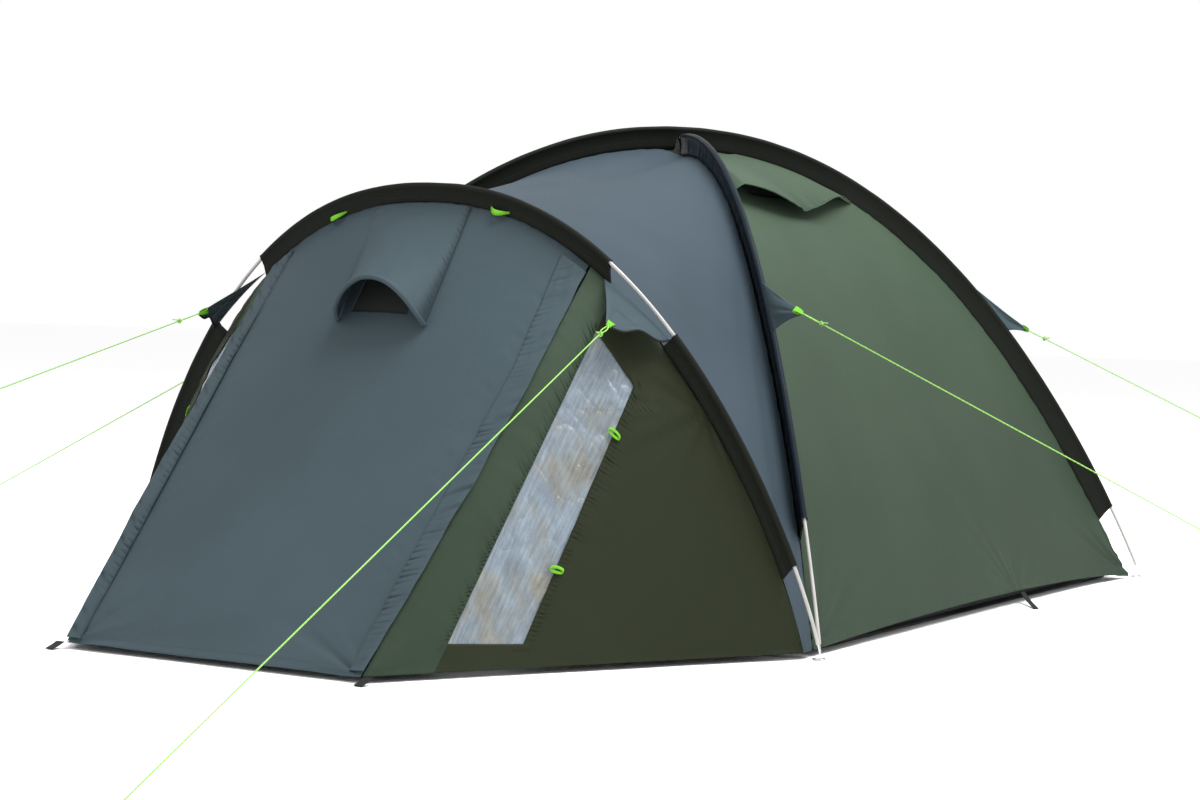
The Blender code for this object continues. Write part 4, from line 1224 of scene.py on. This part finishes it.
def make_storm_flap(name, side):
    """The gathered strip over a zip. It is sewn along its inner edge and free along the outer one."""
    w = np.linspace(0.02, 0.992, 701)[:, None]
    t = np.linspace(0.0, 1.0, 27)[None, :]
    inner = 0.858 + 0.059 * np.minimum(w / 0.3, 1.0)
    outer = 1.010 + 0.028 * np.sin(math.pi * w) + 0.006 * noise(w * 9.0, 0.0, 130 + side)
    flat, normals = door_points(side * (inner + (outer - inner) * t), w)
    across, down = spans(flat)
    slant = down + 0.9 * across
    crowded = 0.35 + 1.3 * noise(down / 0.11, across / 0.05, 131 + side)
    crowded = np.clip(crowded + 0.7 * hill(down, 0.28), 0.0, 1.0)
    drawn = gathers(across, down, 132 + side, 0.017, 0.034, 1.1) * crowded
    pulled = gathers(across[:, -1:] - across, down, 133 + side, 0.052, 0.040, -1.5) * (1.0 - crowded)
    height = 0.0058 + 0.0012 * t - 0.0034 * drawn - 0.0030 * pulled
    height += 0.0018 * noise(slant / 0.040, across / 0.045, 134 + side)
    height += 0.0014 * noise(down / 0.070, across / 0.012, 135 + side) * (0.3 + np.exp(-down / 0.25))
    height += 0.0025 * noise(down / 0.12, 0.0, 136 + side) * t**2
    height = np.maximum(height * np.minimum(t / 0.08, 1.0), 0.0) + 0.0009
    grid = flat + normals * height[..., None]
    node = f"door_storm_flap_{name}"
    shade = 0.60 * drawn + 0.50 * pulled + 0.22 * hill(across, 0.007)
    shade = np.clip(shade, 0.0, 1.0)
    panel_piece(node, grid, "slate", body="door", thickness=0.0009, crease=shade)
    lines = [column_of(grid, normals, column) for column in (1, -2)]
    stitch_piece(node, lines, "thread_dark", "door")


def make_door_hood():
    """The arched hood over the door's vent, with a stiff rolled brim."""
    down = np.linspace(0.0, 1.0, 151)[:, None]
    across = -np.cos(np.linspace(0.0, math.pi, 121))[None, :]
    half = HOOD_TOP_V + (HOOD_BRIM_V - HOOD_TOP_V) * down
    length = HOOD_LENGTH - HOOD_RECESS * (1.0 - across**2)
    flat, normals = door_points(half * across + 0.083 * down, 0.004 + (length + 0.011) * down)
    arched = np.sqrt(np.maximum(0.0, 1.0 - across**2))
    rise = 0.004 + 0.090 * down**1.6 * arched
    rise = rise + 0.0016 * noise(across * 5.0, down * 5.0, 140) * down
    near = (1.0 - np.abs(across)) * 0.12
    drawn = gathers(near, down * 0.3 + (across > 0.0), 141, 0.014, 0.013, 0.6)
    rise = rise - 0.0020 * drawn
    shade = 0.30 * drawn + 0.40 * hill(near, 0.008) * (across > 0.0)
    rise = rise + 0.0080 * np.clip((down - 0.94) / 0.06, 0.0, 1.0) ** 2 * arched
    grid = flat + normals * np.maximum(rise, 0.0012)[..., None]
    panel_piece("door_vent_hood", grid, "slate", body="door", thickness=0.0012, crease=shade)
    tubes_piece("binding_door_vent_hood", [resample(grid[-1], 90)], 0.0062, "slate", body="door")
    up = normals_of(grid)
    lines = [column_of(grid, up, 3, 2), column_of(grid, up, -4, 2), row_of(grid, up, -5)]
    stitch_piece("door_vent_hood", lines, "thread_dark", "door")


TOGGLES = (("left", -0.575), ("right", 0.475))  # the middle of each, as a share of half the door


def make_toggles():
    """The two lime loops at the door's head that hold it when it is rolled up."""
    for name, middle in TOGGLES:
        rows = []
        for t in np.linspace(0.0, 1.0, 21):
            bend = math.sin(math.pi * t)
            spine = middle + (t - 0.5) * 0.115
            point, normal = door_points(spine, -0.006 + 0.016 * bend)
            tangent = door_points(spine + 0.01, 0.004)[0] - door_points(spine, 0.004)[0]
            slope = unit(np.cross(normal, unit(tangent)))
            lifted = point + normal * (0.006 + 0.012 * bend)
            wide = unit(slope + normal * 0.25) * (0.0025 + 0.0045 * bend)
            rows.append([lifted - wide, lifted, lifted + wide])
        node = f"door_toggle_{name}"
        rows = np.array(rows)
        cloth_piece(f"loop_{node}", rows, "lime_tape", (node,), body="door", thickness=0.0014)


# ---------------------------------------------------------------- side vents


TACK_V = 0.52  # where along a side vent's hood its brim is tacked down


def make_side_vent(name, left, right, toward, seed):
    """A hood over the mesh near the crossing. Its brim stands open on each side of a tacked middle."""
    whole = gore_grid(left, right, toward, 561, 151, sag=0.0)[:, 2:-2]
    columns = whole.shape[1]
    v = np.linspace(0.0, 1.0, columns)[None, :]
    v = v if toward[0] > 0 else v[:, ::-1]
    down = np.linspace(0.0, 1.0, 57)[:, None]
    row = 30.0 + (112.0 + 18.0 * hill(v - TACK_V, 0.24)) * down
    low = np.floor(row).astype(int)
    column = np.arange(columns)[None, :]
    base = lerp(whole[low, column], whole[low + 1, column], (row - low)[..., None])
    front = np.cos(math.pi / 2 * np.clip(v / 0.50, 0.0, 1.0)) ** 0.8
    front = np.minimum(v / 0.05, 1.0) ** 0.6 * front
    back = np.sin(math.pi * np.clip((v - TACK_V) / (1.0 - TACK_V), 0.0, 1.0))
    rise = 0.004 + (0.044 * front + 0.030 * back) * down**1.5
    rise = rise + 0.0016 * noise(v * 14.0, down * 4.0, seed) * down
    tacked = hill(v - TACK_V, 0.15) * down**5
    folds = ridges(v * 34.0, down * 2.0, seed + 1) * tacked
    rise = rise + 0.0045 * folds
    normals = normals_of(base)
    grid = base + normals * rise[..., None]
    node = f"side_vent_hood_{name}"
    body = f"side_vent_{name}"
    # Painted shade: the tacked middle of the brim is painted darker, except on the crests of its folds.
    panel_piece(node, grid, "green", body=body, thickness=0.0010, crease=0.35 * (tacked - folds))
    tubes_piece(f"binding_{node}", [grid[-1, ::2]], 0.0020, "green", body=body, sides=8)
    lines = [row_of(grid, normals, row) for row in (-4, 1)]
    stitch_piece(node, lines, "thread_green", body)


# ---------------------------------------------------------------- inner tent and groundsheet


def inner_share(height):
    """The inner tent's half width at this height, as a share of that at the ground."""
    return (1.0 - (height / INNER_HEIGHT) ** MAIN_CURVE[1]) ** (1.0 / MAIN_CURVE[0])


def inner_wall(start, end, heights, columns, seed):
    """One wall of the inner tent between two corners, given as signs of x and y.

    columns gives each column's share of the way between them, for every row or row by row."""
    t = np.atleast_2d(columns)[..., None]
    share = inner_share(heights)[:, None, None]
    size = np.array([INNER_HALF_WIDTH, INNER_HALF_LENGTH])
    plan = lerp(np.array(start) * size, np.array(end) * size, t) * share
    plan[..., 1] += DOME_Y
    level = np.broadcast_to(heights[:, None, None], plan.shape[:2] + (1,))
    grid = np.concatenate([plan, level], axis=-1)
    across, down = spans(grid)
    slack = 4.0 * t[..., 0] * (1.0 - t[..., 0])
    height = -0.010 * slack + 0.003 * noise(across / 0.25, down / 0.3, seed)
    puckers = pucker(across, down, seed + 1) + pucker(across[:, -1:] - across, down, seed + 2)
    height += 0.0012 * puckers
    return grid + normals_of(grid) * height[..., None]


DOORWAY_COLUMNS = (22, 62)


def doorway_columns(heights):
    """The front wall's 85 columns, row by row: two of them run straight up the sides of the doorway."""
    half = np.minimum(INNER_DOOR_HALF / (2 * INNER_HALF_WIDTH * inner_share(heights)), 0.42)
    ends = (0, *DOORWAY_COLUMNS, 84)
    return np.array([np.interp(range(85), ends, (0.0, 0.5 - h, 0.5 + h, 1.0)) for h in half])


def make_inner_tent():
    """Four walls with a doorway in the front one, and a small flat cap."""
    low, high = INNER_DOOR_Z
    heights = np.concatenate([np.linspace(0.101, low, 4), np.linspace(low, high, 52)[1:]])
    heights = np.concatenate([heights, np.linspace(high, 1.155, 40)[1:]])
    walls, keeps = [], []
    for number, (start, end) in enumerate(INNER_WALLS):
        columns = np.linspace(0.0, 1.0, 85)
        keep = np.ones((len(heights) - 1, 84), bool)
        if number == 0:
            columns = doorway_columns(heights)
            middle = (heights[:-1] + heights[1:]) / 2
            keep[(middle > low) & (middle < high), DOORWAY_COLUMNS[0] : DOORWAY_COLUMNS[1]] = False
        walls.append(inner_wall(start, end, heights, columns, 150 + 5 * number))
        keeps.append(keep)
    cap_low, cap_high = walls[0][-1], walls[2][-1][::-1]
    cap = lerp(cap_low[None], cap_high[None], np.linspace(0.0, 1.0, 40)[:, None, None])
    cap[..., 2] += 0.004 * np.sin(np.linspace(0.0, math.pi, 40))[:, None]
    mesh = grid_mesh("inner_tent", walls + [cap], keeps + [np.ones((39, 84), bool)])
    tent = link_piece("cloth_inner_tent", mesh, "inner", CLOTH, "root", ("inner_tent",))
    area = sum(area_of(grid) for grid in walls + [cap])
    lines = []
    for grid in walls:
        lines += [column_of(grid, normals_of(grid), column) for column in (1, -2)]
    stitch_piece("inner_tent", lines, "thread_pale")
    make_inner_door()


def make_inner_door():
    """The inner door, which drops outward about its foot, with a zip tape round its edge."""
    low, high = INNER_DOOR_Z
    levels = np.linspace(low + 0.003, high - 0.003, 61)
    x = np.linspace(-1.0, 1.0, 73) * (INNER_DOOR_HALF - 0.003)
    front = DOME_Y - INNER_HALF_LENGTH * inner_share(levels)
    grid = np.stack(np.broadcast_arrays(x[None, :], front[:, None], levels[:, None]), axis=-1)
    across, down = spans(grid)
    normals = normals_of(grid)
    height = 0.002 * noise(across / 0.2, down / 0.2, 175)
    slack = 4.0 * (across / across[:, -1:]) * (1.0 - across / across[:, -1:])
    grid = grid + normals * (height - 0.004 * slack)[..., None]
    panel_piece("inner_door", grid, "inner", held="hung", body="inner_door")
    rim = np.concatenate([grid[:, 0][::-1], grid[0, 1:], grid[1:, -1], grid[-1, ::-1][1:]])
    tubes_piece("zip_inner_door", [resample(rim, 320)], 0.0022, "tape", body="inner_door", sides=8)


TUB_Z = 0.0011  # the middle of the groundsheet's thickness, where it lies on the ground


def make_groundsheet():
    """A tub of woven sheet: a floor with soft folds, and walls that turn up at its edge."""
    a, b = INNER_HALF_WIDTH, INNER_HALF_LENGTH
    x = np.linspace(-a, a, 121)[None, :]
    y = np.linspace(-b, b, 139)[:, None]
    from_edge = np.minimum(np.minimum(a - abs(x), b - abs(y)) / 0.05, 1.0)
    lift = TUB_Z + 0.0016 * np.abs(noise(x / 0.16, y / 0.2, 180)) * from_edge
    floor = np.stack(np.broadcast_arrays(x, y + DOME_Y, lift), axis=-1)
    heights = np.linspace(TUB_Z, TUB_HEIGHT, 15)
    columns = np.linspace(0.0, 1.0, 121)
    walls = []
    for number, (start, end) in enumerate(INNER_WALLS):
        walls.append(inner_wall(start, end, heights, columns, 190 + number))
        walls[-1][0] = pinned_row(start, end, columns)
    mesh = grid_mesh("groundsheet_tub", [floor, *walls])
    tub = link_piece("cloth_groundsheet_tub", mesh, "tub", 0.0009, "root", ("groundsheet_tub",))
    area = area_of(floor) + sum(area_of(wall) for wall in walls)


def pinned_row(start, end, columns):
    """The straight foot of a tub wall, on the ground."""
    size = np.array([INNER_HALF_WIDTH, INNER_HALF_LENGTH])
    plan = lerp(np.array(start) * size, np.array(end) * size, columns[:, None])
    return np.column_stack([plan[:, 0], plan[:, 1] + DOME_Y, np.full(len(columns), TUB_Z)])


# ---------------------------------------------------------------- tabs, loops and guylines


def ring_point(place):
    x, y, z = RINGS[place]
    return np.array([x, y + DOME_Y, z])


def tab_grid(base, apex, sag, seed):
    """A tab from its base line to a tip as wide as the webbing sewn to it."""
    along = unit(base[-1] - base[0])
    columns = len(base)
    tip = apex + np.linspace(-0.010, 0.010, columns)[:, None] * along
    t = np.linspace(0.0, 1.0, 46)[:, None, None]
    grid = lerp(base[None], tip[None], t)
    normals = normals_of(grid)
    across, down = spans(grid)
    share = across / np.maximum(across[:, -1:], 1e-6)
    waist = np.sin(math.pi * t[..., 0])
    grid = grid + (0.5 - share)[..., None] * along * (0.010 * waist)[..., None]
    height = sag * waist * np.sin(math.pi * share) + 0.0022 * noise(share * 7.0, down / 0.07, seed) * waist
    return grid + normals * height[..., None]


def tab_stitching(name, grid):
    """Hems along both slanted edges, and a box of stitches with a cross at the tip."""
    normals = normals_of(grid)
    lines = [column_of(grid, normals, column, 3) for column in (2, -3)]
    box, up = grid[34:43, 5:-5], normals[34:43, 5:-5]
    lines += [row_of(box, up, row) for row in (0, -1)]
    for flip in (1, -1):
        steps = np.arange(len(box))
        columns = np.linspace(0, box.shape[1] - 1, len(box)).round().astype(int)[::flip]
        lines.append((box[steps, columns], up[steps, columns]))
    stitch_piece(name, lines, "thread_dark")


def webbing_loop(name, place, toward, up):
    """A flat lime loop of webbing sewn to a tab's tip. It narrows towards the line that pulls it."""
    side = unit(np.cross(toward, up))
    rows = []
    for t in np.linspace(0.0, 1.0, 41):
        angle = math.pi * (1.7 * t - 0.85)
        reach = 0.012 * math.cos(angle) - 0.006
        lift = 0.0030 * math.sin(angle)
        half = 0.0105 - 0.0045 * (reach + 0.018) / 0.024
        spine = place + toward * reach + up * lift
        rows.append([spine + side * s for s in np.linspace(-half, half, 7)])
    cloth_piece(f"webbing_{name}", np.array(rows), "lime_tape", thickness=0.0013)


TAB_STEPS = (13, 11)  # a main tab's base runs between these steps from the pole's foot
PORCH_TAB_STEPS = (12.95, 10.2)
PORCH_TAB_DEPTHS = (0.036, 0.012)  # how far inside the pole each end of that base lies


def make_main_tabs():
    """The four tabs on the main poles. The rear left one has no guyline, so it points straight out."""
    step = lengths_along(main_half(FRONT_RIGHT))[-1] / MAIN_STEPS
    for number, (place, corner) in enumerate(CORNERS.items()):
        toward = RIGHTWARD if corner[0] > 0 else LEFTWARD
        line = seam(main_half(corner)[::-1], main_plane(corner, toward), depth=-0.0085)
        distances = lengths_along(line)
        start, end = (count * step for count in TAB_STEPS)
        base = pick(line, distances, np.linspace(start, end, 27))
        grid = tab_grid(base, ring_point(place), 0.006, 200 + number)
        node = f"guy_tab_{place}"
        cloth_piece(f"cloth_{node}", grid, "slate", (node,), thickness=0.0016)
        tab_stitching(node, grid)
        away = guy_direction(place) if place in PEGS else toward
        webbing_loop(node, ring_point(place), away, unit(np.cross(away, unit(base[-1] - base[0]))))


def make_porch_tabs():
    """The cloth between the porch pole and each front guyline, with a wavy bound lower edge."""
    arch = arch_line()
    inward = -outward(arch, ARCH_PLANE)
    distances = lengths_along(arch)
    step = distances[-1] / ARCH_STEPS
    for name, side in SIDES:
        lines = (arch, inward) if side < 0 else (arch[::-1], inward[::-1])
        start, end = (count * step for count in PORCH_TAB_STEPS)
        wanted = np.linspace(start, end, 41)
        depth = np.linspace(*PORCH_TAB_DEPTHS, 41)[:, None]
        base = pick(lines[0], distances, wanted) + pick(lines[1], distances, wanted) * depth
        base = base + ARCH_PLANE * 0.009
        place = f"porch_{name}"
        grid = tab_grid(base, ring_point(place), -0.004, 210 + side)
        t = np.linspace(0.0, 1.0, grid.shape[0])[:, None]
        share = np.linspace(0.0, 1.0, grid.shape[1])[None, :]
        dip = 0.009 * np.sin(t * 3.0 * math.pi) * share**6 * np.sqrt(1.0 - t)
        grid = grid - np.array([0.0, 0.0, 1.0]) * dip[..., None]
        fold = 0.004 * hill(t - 0.45, 0.03) * np.sin(math.pi * share)
        grid = grid + normals_of(grid) * fold[..., None]
        node = f"guy_tab_porch_{name}"
        cloth_piece(f"cloth_{node}", grid, "slate", (node,), thickness=0.0014)
        tab_stitching(node, grid)
        tubes_piece(f"binding_{node}", [grid[:, -1]], 0.0026, "tape", sides=8)
        away = guy_direction(place)
        webbing_loop(node, ring_point(place), away, unit(np.cross(away, unit(base[-1] - base[0]))))


def ground_point(place):
    x, y = PEGS[place]
    return np.array([x, y + DOME_Y, CORD_RADIUS + 0.0005])


def guy_direction(place):
    return unit(ground_point(place) - ring_point(place))


def guy_axes(place):
    """Where a guyline leaves its tab, then the directions along it, level across it and up from it."""
    along = guy_direction(place)
    side = unit(np.cross(along, (0.0, 0.0, 1.0)))
    return ring_point(place) + along * 0.004, along, side, np.cross(side, along)


LOOP_LENGTH, LOOP_HALF = 0.055, 0.006  # of the loop tied to a tab
PEG_LOOP_LENGTH, PEG_LOOP_HALF = 0.030, 0.009  # of the loop on the ground


def guy_route(place):
    """A taut guyline from its tab to the ground, with one side of its tied loop at the top."""
    start, along, side, _ = guy_axes(place)
    length = np.linalg.norm(ground_point(place) - start)
    points = []
    for distance in (0.0, 0.006, 0.018, 0.032, 0.045, LOOP_LENGTH, 0.075, 0.12):
        swell = LOOP_HALF * math.sin(math.pi * min(distance / LOOP_LENGTH, 1.0))
        points.append(start + along * distance + side * swell)
    for share in np.linspace(0.2, 1.0, 9):
        points.append(start + along * length * share)
    return np.array(points)


def smooth_line(points, count):
    """A smooth curve through the points."""
    points = np.asarray(points, float)
    distances = lengths_along(points)
    wanted = np.linspace(0.0, distances[-1], count)
    slopes = np.gradient(points, distances, axis=0)
    index = np.clip(np.searchsorted(distances, wanted, side="right") - 1, 0, len(points) - 2)
    width = (distances[index + 1] - distances[index])[:, None]
    t = ((wanted - distances[index])[:, None]) / width
    a, b = points[index], points[index + 1]
    ma, mb = slopes[index] * width, slopes[index + 1] * width
    return (
        a * (2 * t**3 - 3 * t**2 + 1) + ma * (t**3 - 2 * t**2 + t)
        + b * (3 * t**2 - 2 * t**3) + mb * (t**3 - t**2)
    )


def knot_line(centre, along, side, up, size=0.0034):
    """The path of an overhand knot drawn tight about a line."""
    turns = full_turn(90)
    around = size * (1.0 + 0.55 * np.cos(3.0 * turns))
    x = around * np.cos(2.0 * turns)
    y = around * np.sin(2.0 * turns)
    z = size * 1.1 * np.sin(3.0 * turns)
    return centre + x[:, None] * side + y[:, None] * up + z[:, None] * along


def tied_lines(place):
    """The other side of the loop at a guyline's head, the knot below it and the cut end's short tail."""
    start, along, side, up = guy_axes(place)
    knot_place = start + along * LOOP_LENGTH
    loop = []
    for distance in np.linspace(0.0, LOOP_LENGTH, 12):
        swell = LOOP_HALF * math.sin(math.pi * distance / LOOP_LENGTH)
        loop.append(start + along * distance - side * swell)
    tail = [knot_place - along * 0.002, knot_place + along * 0.006 + up * 0.005]
    tail.append(knot_place + along * 0.014 + up * 0.009 + side * 0.004)
    return [smooth_line(loop, 30), knot_line(knot_place, along, side, up), smooth_line(tail, 14)]


def peg_lines(place):
    """The loop for a peg at a guyline's foot, which lies on the ground, and the knot that closes it."""
    _, along, side, up = guy_axes(place)
    end = ground_point(place)
    t = np.linspace(0.0, 1.0, 30)[:, None]
    reach = PEG_LOOP_LENGTH * (1.0 - np.abs(2.0 * t - 1.0) ** 1.6)
    loop = end - along * (PEG_LOOP_LENGTH - reach)
    loop = loop + side * PEG_LOOP_HALF * np.sin(2.0 * math.pi * t)
    loop[:, 2] = np.maximum(loop[:, 2], CORD_RADIUS + 0.0003)
    return [loop, knot_line(end - along * PEG_LOOP_LENGTH, along, side, up)]


def make_guyline(place):
    """A lime cord tied to its webbing by a loop and knot, and ending in a peg loop on the ground."""
    route = smooth_line(guy_route(place), 400)
    cord = tubes_piece(f"cord_{place}", [route], CORD_RADIUS, "lime", (f"guyline_{place}",), sides=10)
    tied = tubes_piece(f"tie_{place}", tied_lines(place), CORD_RADIUS, "lime", sides=10)
    peg_loop = tubes_piece(f"peg_loop_{place}", peg_lines(place), CORD_RADIUS, "lime", sides=10)
    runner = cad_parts[f"guy_runner_{place}"]
    runner.data.materials.clear()
    runner.data.materials.append(LOOKS["plastic"][0])


def strap(node, spine, across, half):
    """A flat webbing strap along a line of points, in the place of the frame's node."""
    spine = smooth_line(spine, 40)
    grid = spine[:, None] + np.linspace(-half, half, 9)[None, :, None] * np.asarray(across)
    cloth_piece(f"strap_{node}", grid, "tape", (node,), thickness=0.0016)


# How far ahead of a door corner its strap's middle line runs, and how high
CORNER_STRAP = ((0.001, 0.0145), (0.018, 0.008), (0.038, 0.0018))


def make_ground_loops():
    """The loops for pegs at the door's corners and in the middle of the side hems."""
    for name, side in SIDES:
        x, y, _ = door_corner(side)
        spine = [(x + side * 0.017, y - ahead, z) for ahead, z in CORNER_STRAP]
        strap(f"door_corner_loop_{name}", spine, (1.0, 0.0, 0.0), 0.011)
        start = np.array([side * 0.972, DOME_Y + 0.245, 0.030])
        end = np.array([side * 1.058, DOME_Y + 0.125, 0.0018])
        across = unit((-(end - start)[1], (end - start)[0], 0.0))
        spine = [start, lerp(start, end, 0.5) - (0.0, 0.0, 0.003), end]
        strap(f"hem_loop_{name}", spine, across, 0.007)


# ---------------------------------------------------------------- zips


def door_edge(side):
    """The straight line of the zip, from the door's foot to its head."""
    ends = porch_side_grid(side, np.array([0.0]), np.array([0.97, 0.03]))
    return ends[0, 0], ends[1, 0]


def make_zip(name, side):
    """A zip's coil behind the storm flap, with its slider near the ground."""
    foot, head = door_edge(side)
    along = unit(head - foot)
    across = unit(np.cross(along, (side * 0.45, -0.6, 0.55)))
    behind = np.cross(across, along)
    if behind[1] < 0.0:
        behind = -behind
    distance = np.linspace(0.0, np.linalg.norm(head - foot), 420)
    teeth = foot + along * distance[:, None] + behind * 0.0030
    teeth = teeth + across * (0.0008 * np.sin(distance / 0.0011))[:, None]
    tubes_piece(f"coil_zip_{name}", [teeth], 0.0013, "plastic", sides=6)
    make_slider(name, foot + along * 0.02 + behind * 0.0105, along, across, behind)


def make_slider(name, centre, along, across, behind):
    """A zip's slider: a waisted body, and a pull that hangs from it."""
    body = []
    for t in np.linspace(-1.0, 1.0, 25):
        half = 0.0050 - 0.0014 * abs(t) ** 1.5
        thick = 0.0024 * (1.0 - t**6) + 0.0001
        angles = full_turn(21)
        flat = np.sign(np.cos(angles)) * np.abs(np.cos(angles)) ** 0.5
        tall = np.sign(np.sin(angles)) * np.abs(np.sin(angles)) ** 0.5
        point = centre + along * 0.013 * t
        body.append(point + np.outer(flat * half, across) + np.outer(tall * thick, behind))
    pull = [centre - along * 0.006 + behind * 0.0035, centre - along * 0.014 + behind * 0.0050]
    pull.append(centre - along * 0.022 + behind * 0.0045)
    grids = [np.array(body), tube_grid(smooth_line(pull, 14), 0.0014, 10)]
    mesh = weld(grid_mesh("slider", grids))
    link_piece(f"slider_{name}", mesh, "plastic", 0.0, f"zip_{name}", (f"zip_slider_{name}",))


# ---------------------------------------------------------------- everything

make_camera()
for peg in PEGS:
    make_guyline(peg)
make_studio()
make_poles()
for corner_name, corner_signs in CORNERS.items():
    make_corner_ring(f"corner_ring_{corner_name}", corner_signs)
make_main_sleeves()
make_porch_sleeves()
make_roof()
make_side_gore("right", FRONT_RIGHT, REAR_RIGHT, RIGHTWARD, 50)
make_side_gore("left", FRONT_LEFT, REAR_LEFT, LEFTWARD, 60)
make_rear_gore()
for side_name, side_sign in SIDES:
    make_porch_side(side_name, side_sign)
make_door()
make_door_hood()
make_toggles()
make_side_vent("right", FRONT_RIGHT, REAR_RIGHT, RIGHTWARD, 145)
make_side_vent("left", FRONT_LEFT, REAR_LEFT, LEFTWARD, 147)
make_inner_tent()
make_groundsheet()
make_main_tabs()
make_porch_tabs()
make_ground_loops()
for side_name, side_sign in SIDES:
    make_zip(side_name, side_sign)
